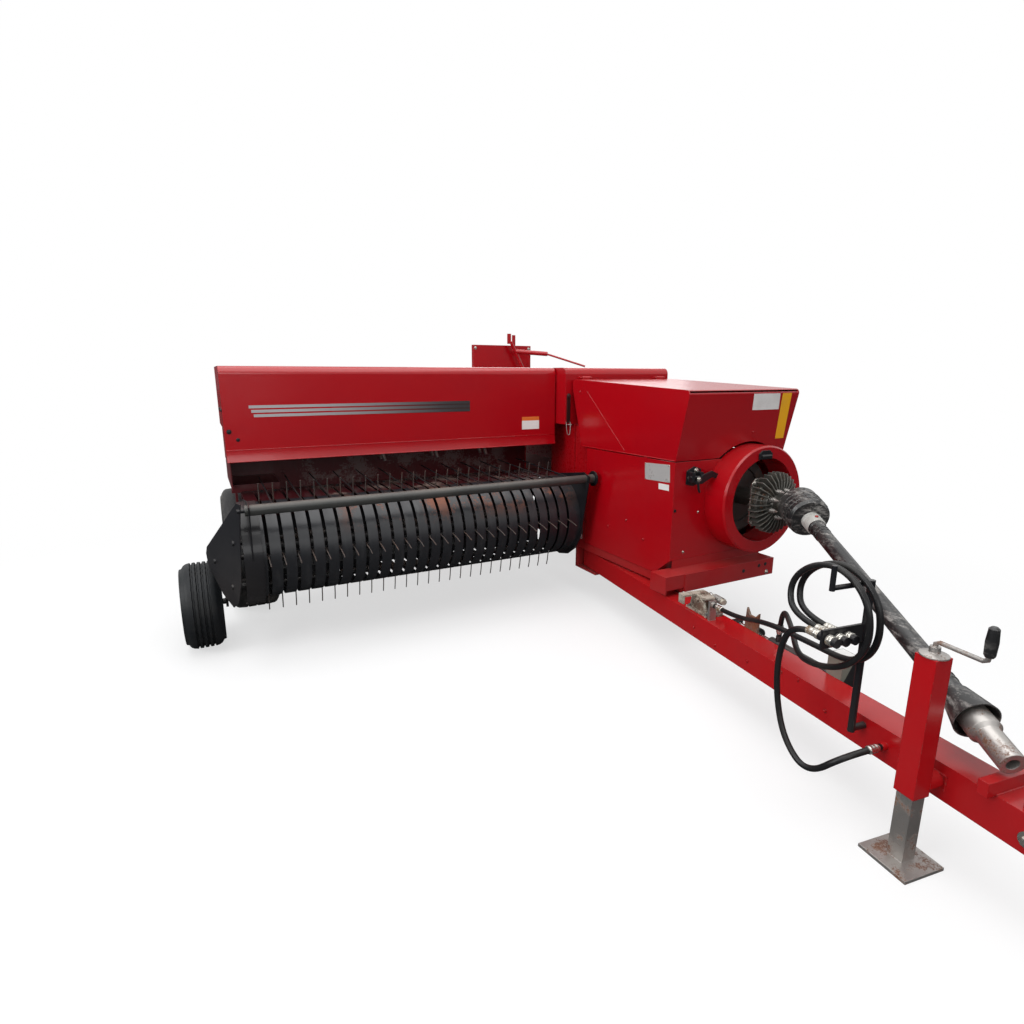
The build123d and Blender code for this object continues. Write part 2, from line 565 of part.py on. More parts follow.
def tongue():
    half = TONGUE_W / 2
    wall = 8.0
    end = TONGUE_REACH - 170
    tube = block(-half, half, -end, 90, TONGUE_Z, TONGUE_TOP_Z)
    tube -= block(-half + wall, half - wall, -end + 12, 40, TONGUE_Z + wall, TONGUE_TOP_Z - wall)
    tube += bar_z(48, TONGUE_Z, TONGUE_TOP_Z, 0, 0)
    tube -= bar_z(PIVOT_PIN_R + RUN, TONGUE_Z - 1, TONGUE_TOP_Z + 1, 0, 0)
    # Upright plates at the nose, which carry the hitch at the drawbar's height
    for side in (-1, 1):
        x0 = side * (half - 22) - 7
        tube += block(x0, x0 + 14, -end - 40, -end + 150, TONGUE_Z, HITCH_Z + 33)
    tube += block(-half + 16, half - 16, -end - 40, -end + 1, TONGUE_Z + 10, HITCH_Z - 30 - SEAT)
    # Sleeve and arm that carry the jack, and the saddle under the drive shaft
    tube += bar_x(26, JACK_SIDE + JACK_W / 2 + 3, -half + 1, -JACK_AT, TONGUE_Z + TONGUE_H / 2)
    saddle_half = 95.0
    tube += block(-saddle_half, saddle_half, -SHAFT_REST_AT - 14, -SHAFT_REST_AT + 14, TONGUE_TOP_Z - 1,
                  SHAFT_REST_Z)
    # Glands the hoses come out of
    along, side, z = LIFT_GLAND
    tube += block(side - 18, side + 18, -along + 10, -along + 22, TONGUE_TOP_Z - 1, z + 18)
    tube += bar_y(GLAND_R, -along, -along + 23, side, z)
    along, z = LOW_GLAND
    tube += bar_x(GLAND_R, -half - 18, -half + 1, -along, z)
    # Hose stand: arm, post, coil hook and plate with the couplers
    y, x = -STAND_AT, STAND_SIDE
    tube += bar_x(11, x, -half + 1, y, TONGUE_TOP_Z - 30)
    tube += bar_z(11, TONGUE_TOP_Z - 41, HOOK_Z + 8, x, y)
    tube += bar_x(8, HOOK_END, x, y, HOOK_Z)
    tube += bar_z(8, HOOK_Z - 8, HOOK_Z + 70, HOOK_END, y)
    tube += block(COUPLER_SIDES[-1] - 22, x + 8, y - 4, y + 4, COUPLER_Z - 30, COUPLER_Z + 30)
    for side in COUPLER_SIDES:
        tube += bar_y(15, y - 40, -COUPLER_FACE, side, COUPLER_Z)
    return {"tongue": on_tongue(tube)}


def hitch_clevis():
    """Forged clevis bolted between the nose plates."""
    gap = 36.0
    ear = 22.0
    width = 70.0
    back = -(TONGUE_REACH - 170) - 40
    x_half = TONGUE_W / 2 - 22 - 7 - 0.3
    shank = block(-x_half, x_half, back - 1, back + 150, HITCH_Z - 30, HITCH_Z + 30)
    shank -= block(-x_half - 1, x_half + 1, back + 40 - SEAT, back + 151, HITCH_Z - 31, TONGUE_TOP_Z + SEAT)
    clevis = join(shank, block(-width / 2, width / 2, -TONGUE_REACH, back, HITCH_Z - gap / 2 - ear, HITCH_Z + gap / 2 + ear))
    clevis -= block(-width / 2 - 1, width / 2 + 1, -TONGUE_REACH - 1, back - 25, HITCH_Z - gap / 2, HITCH_Z + gap / 2)
    clevis -= bar_z(HITCH_BORE_R, HITCH_Z - 80, HITCH_Z + 80, 0, -TONGUE_REACH + 42)
    return {"hitch_clevis": on_tongue(clevis)}


def jack():
    """Drop-leg stand: square outer tube on the tongue, inner leg with a foot."""
    outer, inner, wall = JACK_W, 48.0, 5.0
    z0, z1 = 220.0, 640.0
    x, y = JACK_SIDE, -JACK_AT
    tube = block(x - outer / 2, x + outer / 2, y - outer / 2, y + outer / 2, z0, z1)
    tube -= block(x - outer / 2 + wall, x + outer / 2 - wall, y - outer / 2 + wall, y + outer / 2 - wall, z0 - 1, z1 - wall)
    leg_half = inner / 2
    leg = block(x - leg_half, x + leg_half, y - leg_half, y + leg_half, 8, 430)
    leg += block(x - 75, x + 75, y - 75, y + 75, 0, 10)
    tube += block(x + outer / 2 - 1, x + outer / 2 + 3, y - 26, y + 26, TONGUE_Z + 31, TONGUE_TOP_Z - 20)
    return {"jack_tube": on_tongue(tube), "jack_leg": on_tongue(leg)}


def tongue_latch():
    """Spring latch on the tongue that holds it to the cross-beam."""
    y = -LATCH_AT
    base = block(-46, 46, y - 150, y, TONGUE_TOP_Z + 0.3, TONGUE_TOP_Z + 12)
    top = TONGUE_TOP_Z
    latch = base
    for x0 in (-34, 24):
        latch += sheet_x([(y - 132, top + 11), (y - 112, top + 58), (y - 62, top + 84), (y - 26, top + 72), (y - 10, top + 11)],
                         x0, x0 + 10)
    latch += bar_x(10, -48, 56, y - 70, top + 60)
    latch += block(-104, 30, y - 58, y - 20, top + 76, top + 85)
    latch += block(-104, -96, y - 58, y - 20, top + 42, top + 77)
    latch += block(-30, 26, y - 116, y - 40, top + 71, top + 79)
    latch += bar_y(13, y - 140, y - 60, 58, top + 60)
    return {"tongue_latch": on_tongue(latch)}


def latch_cylinder():
    """Small hydraulic cylinder along the tongue's left side."""
    side = TONGUE_W / 2 + 32
    z = TONGUE_TOP_Z - 20
    barrel = bar_y(22, -1680, -1380, side, z)
    barrel += bar_y(10, -1381, -1180, side, z)
    near = TONGUE_W / 2 + SEAT
    barrel += block(near, side + 22, -1700, -1679, z - 22, z + 22)
    barrel += block(near, side + 36, -1756, -1692, z - 18, z + 105)
    barrel += block(near, side + 14, -1190, -1160, z - 16, z + 16)
    # Horned bracket the rod runs through, a collar, and the oil port
    barrel += sheet_x([(-1330, z - 30), (-1330, z + 108), (-1310, z + 84), (-1278, z + 84), (-1258, z + 112),
                       (-1248, z - 30)], near, near + 10)
    barrel += bar_y(30, -1312, -1296, side, z)
    along, port_side, port_z = PORT_AT
    barrel += bar_z(12, z + 18, port_z, port_side, -along)
    return {"latch_cylinder": on_tongue(barrel)}


# Hoses to the tractor, hung in a coil on their stand


def coil(first_side, step, spots):
    """Corner points of one turn, each further out from the tongue by step."""
    return [(along, first_side - step * n, z) for n, (along, z) in enumerate(spots)]


COIL = ((1972, 498), (2044, 600), (2024, 740), (1916, 812), (1800, 776), (1740, 690))
HOSES = {
    "lift_hose": [LIFT_GLAND, (1300, LIFT_GLAND[1], LIFT_GLAND[2]), (1540, -96, 460), (1780, -128, 486)] + coil(-142, 5, COIL)
    + [(1790, COUPLER_SIDES[0], COUPLER_Z), (COUPLER_FACE, COUPLER_SIDES[0], COUPLER_Z)],
    "swing_hose": [PORT_AT, (PORT_AT[0], PORT_AT[1], 458), (1600, -30, 452), (1740, -138, 424), (1860, -172, 446)]
    + coil(-182, 5, COIL) + [(1790, COUPLER_SIDES[1], COUPLER_Z), (COUPLER_FACE, COUPLER_SIDES[1], COUPLER_Z)],
    "slack_hose": [(COUPLER_FACE, COUPLER_SIDES[2], COUPLER_Z), (1828, COUPLER_SIDES[2], COUPLER_Z), (1778, -260, 478),
                   (1786, -258, 320), (1836, -254, 180), (1936, -246, 116), (LOW_GLAND[0], -220, LOW_GLAND[1]),
                   (LOW_GLAND[0], -TONGUE_W / 2 - 18, LOW_GLAND[1])],
}


def hoses():
    nodes = {}
    for name, spots in HOSES.items():
        points = [Vector(*tongue_point(*spot)) for spot in spots]
        radii = []
        for a, b, c in zip(points, points[1:], points[2:]):
            turn = radians((b - a).get_angle(c - b))
            radii.append(0.45 * min((b - a).length, (c - b).length) / tan(turn / 2))
        route = FilletPolyline(*points, radius=radii)
        section = Plane(origin=points[0], z_dir=points[1] - points[0]) * Circle(HOSE_R)
        nodes[name] = sweep(section, path=route)
        share = nodes[name].volume / (pi * HOSE_R ** 2 * route.length)
        print(name, "length", round(route.length), "radii", [round(r) for r in radii], "volume share", round(share, 3))
    return nodes


# Pickup

BAND_TOP_Z = REEL_Z + BAND_R
BAND_LOW_Z = REEL_Z - BAND_R


def band_strip(x0, x1):
    """One stripper band, up round the reel from back to front to back."""
    r0, r1 = BAND_R - BAND_T, BAND_R
    outer = Plane.YZ.offset(x0) * (
        Polyline((REEL_Y, BAND_TOP_Z), (PICKUP_REAR_Y, BAND_TOP_Z), (PICKUP_REAR_Y, BAND_TOP_Z - BAND_T),
                 (REEL_Y, BAND_TOP_Z - BAND_T))
        + ThreePointArc((REEL_Y, REEL_Z + r0), (REEL_Y - r0, REEL_Z), (REEL_Y, REEL_Z - r0))
        + Polyline((REEL_Y, BAND_LOW_Z + BAND_T), (PICKUP_REAR_Y, BAND_LOW_Z + BAND_T), (PICKUP_REAR_Y, BAND_LOW_Z),
                   (REEL_Y, BAND_LOW_Z))
        + ThreePointArc((REEL_Y, REEL_Z - r1), (REEL_Y - r1, REEL_Z), (REEL_Y, REEL_Z + r1))
    )
    return extrude(make_face(outer), x1 - x0, dir=(1, 0, 0))


CARRIER = 36.0
PAN_R = 338.0


def pickup_strippers():
    """All bands, on the top and bottom cross-bars that carry them."""
    top = block(PICKUP_RIGHT_X, PICKUP_LEFT_X, PICKUP_REAR_Y - 4, PICKUP_REAR_Y + CARRIER, BAND_TOP_Z - CARRIER, BAND_TOP_Z)
    low = block(PICKUP_RIGHT_X, PICKUP_LEFT_X, PICKUP_REAR_Y - 4, PICKUP_REAR_Y + CARRIER, BAND_LOW_Z, BAND_LOW_Z + CARRIER)
    bands = [band_strip(TINE_X0 + TINE_PITCH * (n + 0.5) - BAND_W / 2, TINE_X0 + TINE_PITCH * (n + 0.5) + BAND_W / 2)
             for n in range(TINE_COUNT - 1)]
    gap = (TINE_PITCH - BAND_W) / 2
    last = TINE_X0 + TINE_PITCH * (TINE_COUNT - 1)
    bands.append(band_strip(PICKUP_RIGHT_X, TINE_X0 - gap))
    bands.append(band_strip(last + gap, PICKUP_LEFT_X))
    # Curved pan behind the reel, between the two cross-bars
    spread = radians(38)
    r0, r1 = PAN_R, PAN_R + 3
    corners = [(REEL_Y + r * cos(a), REEL_Z + r * sin(a)) for r, a in ((r0, spread), (r0, -spread), (r1, -spread), (r1, spread))]
    outline = Plane.YZ.offset(PICKUP_RIGHT_X) * (
        ThreePointArc(corners[0], (REEL_Y + r0, REEL_Z), corners[1]) + Line(corners[1], corners[2])
        + ThreePointArc(corners[2], (REEL_Y + r1, REEL_Z), corners[3]) + Line(corners[3], corners[0])
    )
    pan = extrude(make_face(outline), PICKUP_LEFT_X - PICKUP_RIGHT_X, dir=(1, 0, 0))
    return {"pickup_strippers": top.fuse(low, pan, *bands)}


def side_outline(grow):
    """Teardrop end sheet, pointed where the windguard hangs."""
    r = BAND_R + grow
    points = [(GUARD_Y - 44, GUARD_Z + 20), (GUARD_Y + 20, GUARD_Z + 38)]
    for degrees_ in (62, 40, 18, -4, -26, -48, -70, -92, -114, -136, -158, -180):
        a = radians(degrees_)
        stretch = 60 if -100 < degrees_ < 50 else 0
        points.append((REEL_Y + stretch * cos(a) + r * cos(a), REEL_Z + r * sin(a)))
    return points


def pickup_arm(x0, x1):
    """Arm from the end sheet back to the lift pivot, and the sheet's own shape."""
    sheet = sheet_x(side_outline(24), x0, x1)
    sheet += sheet_x([(REEL_Y + 200, REEL_Z + 90), (PICKUP_PIVOT_Y, PICKUP_PIVOT_Z + 24),
                      (PICKUP_PIVOT_Y, PICKUP_PIVOT_Z - 24), (REEL_Y + 200, REEL_Z - 10)], x0, x1)
    sheet += bar_x(PIVOT_LUG_R, x0, x1, PICKUP_PIVOT_Y, PICKUP_PIVOT_Z)
    return sheet


def pickup_sides():
    """End sheets with the reel's bearings; a flared crop plate stands off the right one."""
    inner = PICKUP_RIGHT_X - SEAT
    right = pickup_arm(inner - 6, inner)
    right -= bar_x(GUARD_R + RUN, inner - 7, inner + 1, GUARD_Y, GUARD_Z)
    right += bar_x(42, inner - 30, inner - 5, REEL_Y, REEL_Z)
    outline = [(-985, 812), (-955, 816), (-672, 560), (-660, 525), (-668, 470), (-770, 345), (-850, 295), (-895, 330),
               (-930, 430), (-945, 525), (-952, 620), (-968, 720)]
    flare = atan2(FLARE_X0 - FLARE_X1, FLARE_Y1 - GUARD_Y)
    along = [((y - GUARD_Y) / cos(flare), z) for y, z in outline]
    right += Pos(FLARE_X0, GUARD_Y, 0) * Rot(0, 0, degrees(flare)) * sheet_x(along, -4, 0)
    for y, z in ((-900.0, 620.0), (-860.0, 400.0), (-730.0, 500.0)):
        right += bar_x(12, FLARE_X0 - (y - GUARD_Y) * tan(flare) - 8, inner - 5, y, z)
    right += bar_x(GUARD_PIN_R, FLARE_X0 - 12, FLARE_X0 + 60, GUARD_Y, GUARD_Z)
    left_x = PICKUP_LEFT_X + SEAT
    left = pickup_arm(left_x, left_x + 6) + bar_x(42, left_x + 5, left_x + 24, REEL_Y, REEL_Z)
    left -= bar_x(GUARD_R + RUN, left_x - 1, left_x + 7, GUARD_Y, GUARD_Z)
    bores = bar_x(REEL_SHAFT_R + RUN, inner - 40, left_x + 40, REEL_Y, REEL_Z)
    bores += bar_x(LIFT_PIN_R + RUN, inner - 40, left_x + 40, PICKUP_PIVOT_Y, PICKUP_PIVOT_Z)
    return {"pickup_sides": (right - bores) + (left - bores)}


def pickup_reel():
    shaft = bar_x(REEL_SHAFT_R, PICKUP_RIGHT_X - 34, PICKUP_LEFT_X + 52, REEL_Y, REEL_Z)
    shaft += bar_x(104, PICKUP_LEFT_X + 32, PICKUP_LEFT_X + 48, REEL_Y, REEL_Z)
    x_first = TINE_X0 - 20
    x_last = TINE_X0 + TINE_PITCH * (TINE_COUNT - 1) + 20
    parts = []
    for turn in range(4):
        a = radians(90 * turn)
        y, z = REEL_Y + REEL_BAR_R * cos(a), REEL_Z + REEL_BAR_R * sin(a)
        parts.append(bar_x(16, x_first, x_last, y, z))
        for n in range(TINE_COUNT):
            x = TINE_X0 + TINE_PITCH * n
            tine = block(x - TINE_D / 2, x + TINE_D / 2, REEL_BAR_R, REEL_TIP_R, -TINE_D / 2, TINE_D / 2)
            parts.append(Pos(0, REEL_Y, REEL_Z) * Rot(90 * turn, 0, 0) * tine)
    for n in range(4):
        x = x_first + 40 + n * (x_last - x_first - 80) / 3
        parts.append(block(x - 5, x + 5, REEL_Y - REEL_BAR_R, REEL_Y + REEL_BAR_R, REEL_Z - 22, REEL_Z + 22))
        parts.append(block(x - 5, x + 5, REEL_Y - 22, REEL_Y + 22, REEL_Z - REEL_BAR_R, REEL_Z + REEL_BAR_R))
    return {"pickup_reel": shaft.fuse(*parts)}


def gauge_arm():
    """Cross tube under the lower carrier, and a plate down to the gauge wheel's spindle."""
    plate_x = GAUGE_X + GAUGE_W / 2 + 14
    tube_y, tube_z = PICKUP_REAR_Y - 4, BAND_LOW_Z - CARRIER - SEAT
    arm = block(plate_x + 11, PICKUP_RIGHT_X + 420, tube_y, tube_y + CARRIER, tube_z, tube_z + CARRIER)
    arm += sheet_x([(tube_y + CARRIER, tube_z + CARRIER), (tube_y + CARRIER, tube_z), (GAUGE_Y + 20, GAUGE_R - 32),
                    (GAUGE_Y - 28, GAUGE_R - 24), (GAUGE_Y - 28, GAUGE_R + 24), (GAUGE_Y + 20, GAUGE_R + 42),
                    (tube_y, tube_z + CARRIER)], plate_x, plate_x + 12)
    arm += bar_x(GAUGE_SPINDLE_R, GAUGE_X - 43.7, plate_x + 1, GAUGE_Y, GAUGE_R)
    return {"gauge_arm": arm}


def windguard():
    """Pipe in front of the reel with long wire fingers over the bands."""
    x0, x1 = FLARE_X0 + 20, -300.0
    pipe = bar_x(GUARD_R, x0, x1, GUARD_Y, GUARD_Z)
    pipe += bar_x(44, x1 - 8, x1, GUARD_Y, GUARD_Z)
    pipe -= bar_x(GUARD_PIN_R + RUN, x0 - 1, FLARE_X0 + 61, GUARD_Y, GUARD_Z)
    fingers = []
    for n in range(0, TINE_COUNT, 2):
        x = TINE_X0 + TINE_PITCH * (n + 0.5)
        fingers.append(rod(FINGER_R, (x, GUARD_Y + 10, GUARD_Z + 22), (x, GUARD_Y + 640, GUARD_Z + 52)))
    return {"windguard": pipe.fuse(*fingers)}


# Feeder, its cover and the twine box

BOX_X0, BOX_X1 = -1750.0, -420.0
BOX_Y0, BOX_Y1 = SEAT, 470.0
BOX_Z0, BOX_Z1 = 640.0, 1120.0
LID_HINGE_XS = (-1600.0, -1085.0, -570.0)
LID_PIN_R = 2.5
LID_KNUCKLE_R = 5.0
LID_HINGE_Y = SEAT + LID_KNUCKLE_R
LID_HINGE_Z = BOX_Z1 + 32
COVER_FOLD = 60.0


def feeder_house():
    z0 = CHAMBER_LOW_Z
    arch_z = 2 * TYRE_R + 70
    floor = block(FEEDER_FLOOR_X0, -CHAMBER_X - 0.3, FEEDER_FRONT_Y, 0, z0, CHAMBER_FLOOR_Z)
    back = block(FEEDER_FLOOR_X0, FEEDER_X1, -SHEET, 0, z0, COVER_TOP_Z - 50)
    back += block(FEEDER_X0, FEEDER_FLOOR_X0 + 1, -SHEET, 0, arch_z, COVER_TOP_Z - 50)
    arch = block(FEEDER_X0, FEEDER_FLOOR_X0 + SHEET, FEEDER_FRONT_Y, 0, arch_z, arch_z + SHEET)
    drop = block(FEEDER_FLOOR_X0, FEEDER_FLOOR_X0 + SHEET, FEEDER_FRONT_Y, 0, z0, arch_z + 1)
    end = block(FEEDER_X0, FEEDER_X0 + SHEET, COVER_FRONT_Y + 60, 0, arch_z, COVER_TOP_Z - 60)
    track = block(FEEDER_X0, FEEDER_X1, -120, -80, 1240, 1290)
    back += block(FEEDER_X1 - 1, -CHAMBER_X - SEAT, -SHEET, 0, z0, CHAMBER_TOP_Z + RIB_OUT)
    house = join(floor, back, arch, drop, end, track, block(-1000, -960, -121, 0, 1240, 1290))
    for x in LID_HINGE_XS:
        for x0 in (x - KNUCKLE_HALF - 13, x + KNUCKLE_HALF + 3):
            house += block(x0, x0 + 10, -1, LID_HINGE_Y, LID_HINGE_Z - 5, LID_HINGE_Z + 5)
            house += bar_x(LID_KNUCKLE_R, x0, x0 + 10, LID_HINGE_Y, LID_HINGE_Z)
        house += bar_x(LID_PIN_R, x - KNUCKLE_HALF - 13, x + KNUCKLE_HALF + 13, LID_HINGE_Y, LID_HINGE_Z)
    for x in COVER_HINGE_XS:
        for x0 in (x - 46, x + 36):
            house += block(x0, x0 + 10, COVER_HINGE_Y - 8, 0, COVER_TOP_Z - 51, COVER_HINGE_Z + 8)
        house += bar_x(HINGE_PIN_R, x - 46, x + 46, COVER_HINGE_Y, COVER_HINGE_Z)
    # Lugs and pins that the pickup lifts on
    py, pz = PICKUP_PIVOT_Y, PICKUP_PIVOT_Z
    right_x = PICKUP_RIGHT_X - SEAT - 6
    house += block(right_x - 18, right_x - 6, py - 25, py + 25, pz - 26, arch_z + 1)
    house += bar_x(LIFT_PIN_R, right_x - 18, right_x + 8, py, pz)
    left_x = PICKUP_LEFT_X + SEAT + 6
    house += block(left_x + 6, left_x + 18, py - 25, py + 25, pz - 26, z0 + 1)
    house += bar_x(LIFT_PIN_R, left_x - 8, left_x + 18, py, pz)
    return {"feeder_house": house}


def feeder_forks():
    carriage = block(-1500, -700, -128, -72, 1180, 1240 - RUN)
    parts = []
    for x in (-1440.0, -1100.0, -760.0):
        for y in (-230.0, -140.0):
            parts.append(rod(11, (x, y, 1200), (x + 110, y, 860)))
        parts.append(block(x - 24, x + 24, -245, -127, 1180, 1234))
    return {"feeder_forks": carriage.fuse(*parts)}


def feeder_cover():
    y0, y1 = COVER_FRONT_Y, COVER_HINGE_Y - 20
    t = SHEET
    solid = block(COVER_X0, COVER_X1, y0, y1, COVER_LOW_Z, COVER_TOP_Z)
    rolled = solid.edges().filter_by(Axis.X).group_by(Axis.Z)[-1].sort_by(Axis.Y)[0]
    solid = fillet(rolled, COVER_ROLL_R)
    shell = solid - block(COVER_X0 + t, COVER_X1 + 1, y0 + t, y1 + 1, COVER_LOW_Z - 1, COVER_TOP_Z - COVER_ROLL_R - 6)
    shell -= block(COVER_X0 + t, COVER_X1 + 1, y0 + COVER_ROLL_R, y1 + 1, COVER_LOW_Z - 1, COVER_TOP_Z - t)
    shell -= block(COVER_X0 - 1, COVER_X0 + t + 1, y0 + 250, y1 + 1, COVER_LOW_Z - 1, COVER_LOW_Z + 160)
    # Lower strip of the front, leaning out below its fold
    shell -= block(COVER_X0 + t, COVER_X1 + 1, y0 - 1, y0 + t, COVER_LOW_Z - 1, COVER_LOW_Z + COVER_FOLD - 1)
    shell += sheet_x([(y0, COVER_LOW_Z + COVER_FOLD), (y0 + t, COVER_LOW_Z + COVER_FOLD), (y0 + t - 12, COVER_LOW_Z),
                      (y0 - 12, COVER_LOW_Z)], COVER_X0, COVER_X1)
    for x in COVER_HINGE_XS:
        shell += block(x - 30, x + 30, y1 - 2, COVER_HINGE_Y, COVER_HINGE_Z + 5, COVER_TOP_Z)
        shell += bar_x(12, x - 30, x + 30, COVER_HINGE_Y, COVER_HINGE_Z)
        shell -= bar_x(HINGE_PIN_R + RUN, x - 31, x + 31, COVER_HINGE_Y, COVER_HINGE_Z)
    return {"feeder_cover": shell}


def chamber_cover():
    """Fixed sheet over the chamber's throat, in line with the feeder cover."""
    x0, x1 = COVER_X1 + 8, SHIELD_X1 - 5
    y0, y1 = HOOD_REAR_Y + 12, 250.0
    low = CHAMBER_TOP_Z + CHAMBER_WALL + RIB_OUT + SEAT
    solid = block(x0, x1, y0, y1, low, COVER_TOP_Z)
    rolled = solid.edges().filter_by(Axis.X).group_by(Axis.Z)[-1].sort_by(Axis.Y)[0]
    solid = fillet(rolled, COVER_ROLL_R)
    cover = solid - block(x0 + SHEET, x1 - SHEET, y0 + SHEET, y1 + 1, CHAMBER_TOP_Z, COVER_TOP_Z - COVER_ROLL_R)
    cover -= block(x0 + SHEET, x1 - SHEET, y0 + COVER_ROLL_R, y1 + 1, CHAMBER_TOP_Z, COVER_TOP_Z - SHEET)
    for x in (-CHAMBER_X, CHAMBER_X - 40):
        cover += block(x, x + 40, RIB_YS[1] - 15, RIB_YS[1] + 15, low, COVER_TOP_Z - SHEET + 1)
    for x in HOOD_HINGE_XS:
        inner, outer = KNUCKLE_HALF + 3, KNUCKLE_HALF + 13
        for lug_x in (x - outer, x + inner):
            cover += block(lug_x, lug_x + 10, HOOD_HINGE_Y, y0 + 1, HOOD_HINGE_Z - 6, HOOD_HINGE_Z + 6)
            cover += bar_x(6, lug_x, lug_x + 10, HOOD_HINGE_Y, HOOD_HINGE_Z)
        cover += bar_x(SMALL_PIN_R, x - outer, x + outer, HOOD_HINGE_Y, HOOD_HINGE_Z)
    return {"chamber_cover": cover}


def twine_box():
    t = 4.0
    box = block(BOX_X0, BOX_X1, BOX_Y0, BOX_Y1, BOX_Z0, BOX_Z1)
    box -= block(BOX_X0 + t, BOX_X1 - t, BOX_Y0 + t, BOX_Y1 - t, BOX_Z0 + t, BOX_Z1 + 1)
    for x in (BOX_X0 + 330, BOX_X0 + 665, BOX_X0 + 1000):
        box += block(x - 2, x + 2, BOX_Y0 + 1, BOX_Y1 - 1, BOX_Z0 + 1, BOX_Z1 - 120)
    lid = block(BOX_X0 - 6, BOX_X1 + 6, BOX_Y0 + 5, BOX_Y1 + 8, BOX_Z1 + 0.5, BOX_Z1 + 26)
    lid -= block(BOX_X0 - 2, BOX_X1 + 2, BOX_Y0 + 9, BOX_Y1 + 4, BOX_Z1 - 1, BOX_Z1 + 22)
    for x in LID_HINGE_XS:
        lid += block(x - KNUCKLE_HALF, x + KNUCKLE_HALF, LID_HINGE_Y + 1, LID_HINGE_Y + 5, BOX_Z1 + 25, LID_HINGE_Z)
        lid += bar_x(LID_KNUCKLE_R, x - KNUCKLE_HALF, x + KNUCKLE_HALF, LID_HINGE_Y, LID_HINGE_Z)
        lid -= bar_x(LID_PIN_R + RUN, x - KNUCKLE_HALF - 1, x + KNUCKLE_HALF + 1, LID_HINGE_Y, LID_HINGE_Z)
    return {"twine_box": box, "twine_lid": lid}


# Knotters, needles and hook post on the chamber


def knotters():
    base_z = CHAMBER_TOP_Z + CHAMBER_WALL
    nodes = {}
    t = 4.0
    x0, x1 = -280.0, 250.0
    y0, y1 = KNOT_Y, KNOT_Y + 36
    z1 = 1610.0
    z0 = base_z + 150
    cover = block(x0, x1, y0, y1, z0, z1) - block(x0 + t, x1 - t, y0 + t, y1 + 1, z0 - 1, z1 - t)
    for x in (x0, x1 - t):
        cover += block(x, x + t, y0, y1, base_z - 60, z0 + 1)
    for x0, x1 in ((x0, -CHAMBER_X - SEAT), (CHAMBER_X + SEAT, x1)):
        cover += block(x0, x1, y0 + 6, y1, base_z - 60, base_z)
    nodes["knotter_cover"] = cover
    frame = block(-210, 210, KNOT_Y + 100, KNOT_Y + 150, base_z + RIB_OUT, base_z + 60)
    for x in (-210.0, 190.0):
        frame += block(x, x + 20, KNOT_Y + 90, KNOT_Y + 118, base_z, base_z + 330)
    frame += bar_x(20, -209, 209, KNOT_Y + 130, base_z + 290)
    for x in (-NEEDLE_X - 60, NEEDLE_X - 60):
        frame += bar_x(110, x - 8, x + 8, KNOT_Y + 130, base_z + 290)
        frame += block(x + 8, x + 70, KNOT_Y + 80, KNOT_Y + 180, base_z + 190, base_z + 260)
        frame += block(x - 6, x + 60, KNOT_Y + 100, KNOT_Y + 150, base_z + 59, base_z + 191)
    nodes["knotter_frame"] = frame
    post = rod(14, (140, KNOT_Y - 60, base_z), (140, KNOT_Y - 60, 1440))
    post += rod(14, (140, KNOT_Y - 60, 1432), (30, KNOT_Y - 60, 1640))
    post += block(0, 30, KNOT_Y - 66, KNOT_Y - 54, 1620, 1700)
    post += block(44, 70, KNOT_Y - 66, KNOT_Y - 54, 1560, 1690)
    post += rod(18, (80, KNOT_Y - 60, 1560), (300, KNOT_Y - 200, 1540))
    post += rod(8, (290, KNOT_Y - 194, 1541), (560, KNOT_Y - 370, 1440))
    nodes["hook_post"] = post
    return nodes


def needles():
    """Yoke hung from the chamber's sides, with two curved needles under its floor."""
    inner = CHAMBER_X + 12
    arm_t = 12.0
    heel, tip = radians(-68.0), radians(-4.0)

    def at(radius, angle):
        return (NEEDLE_PIVOT_Y + radius * cos(angle), NEEDLE_PIVOT_Z + radius * sin(angle))

    hy, hz = at(NEEDLE_R, heel)
    yoke = bar_x(24, -inner - arm_t, inner + arm_t, hy, hz)
    for side in (-1, 1):
        x0 = inner if side > 0 else -inner - arm_t
        across = (cos(heel + 1.5708) * 26, sin(heel + 1.5708) * 26)
        arm = sheet_x([(NEEDLE_PIVOT_Y + across[0], NEEDLE_PIVOT_Z + across[1]), (hy + across[0], hz + across[1]),
                       (hy - across[0], hz - across[1]), (NEEDLE_PIVOT_Y - across[0], NEEDLE_PIVOT_Z - across[1])],
                      x0, x0 + arm_t)
        arm += bar_x(30, x0, x0 + arm_t, NEEDLE_PIVOT_Y, NEEDLE_PIVOT_Z)
        yoke += arm
    yoke -= bar_x(15 + RUN, -inner - 50, inner + 50, NEEDLE_PIVOT_Y, NEEDLE_PIVOT_Z)
    mid = (heel + tip) / 2
    for x in (-NEEDLE_X, NEEDLE_X):
        r0, r1 = NEEDLE_R - 15, NEEDLE_R + 15
        line = Plane.YZ.offset(x - NEEDLE_HALF) * (
            Line(at(r0, heel), at(r1, heel)) + ThreePointArc(at(r1, heel), at(r1, mid), at(NEEDLE_R + 4, tip))
            + Line(at(NEEDLE_R + 4, tip), at(NEEDLE_R - 4, tip))
            + ThreePointArc(at(NEEDLE_R - 4, tip), at(r0, mid), at(r0, heel))
        )
        yoke += extrude(make_face(line), 2 * NEEDLE_HALF, dir=(1, 0, 0))
    return {"needle_yoke": yoke}


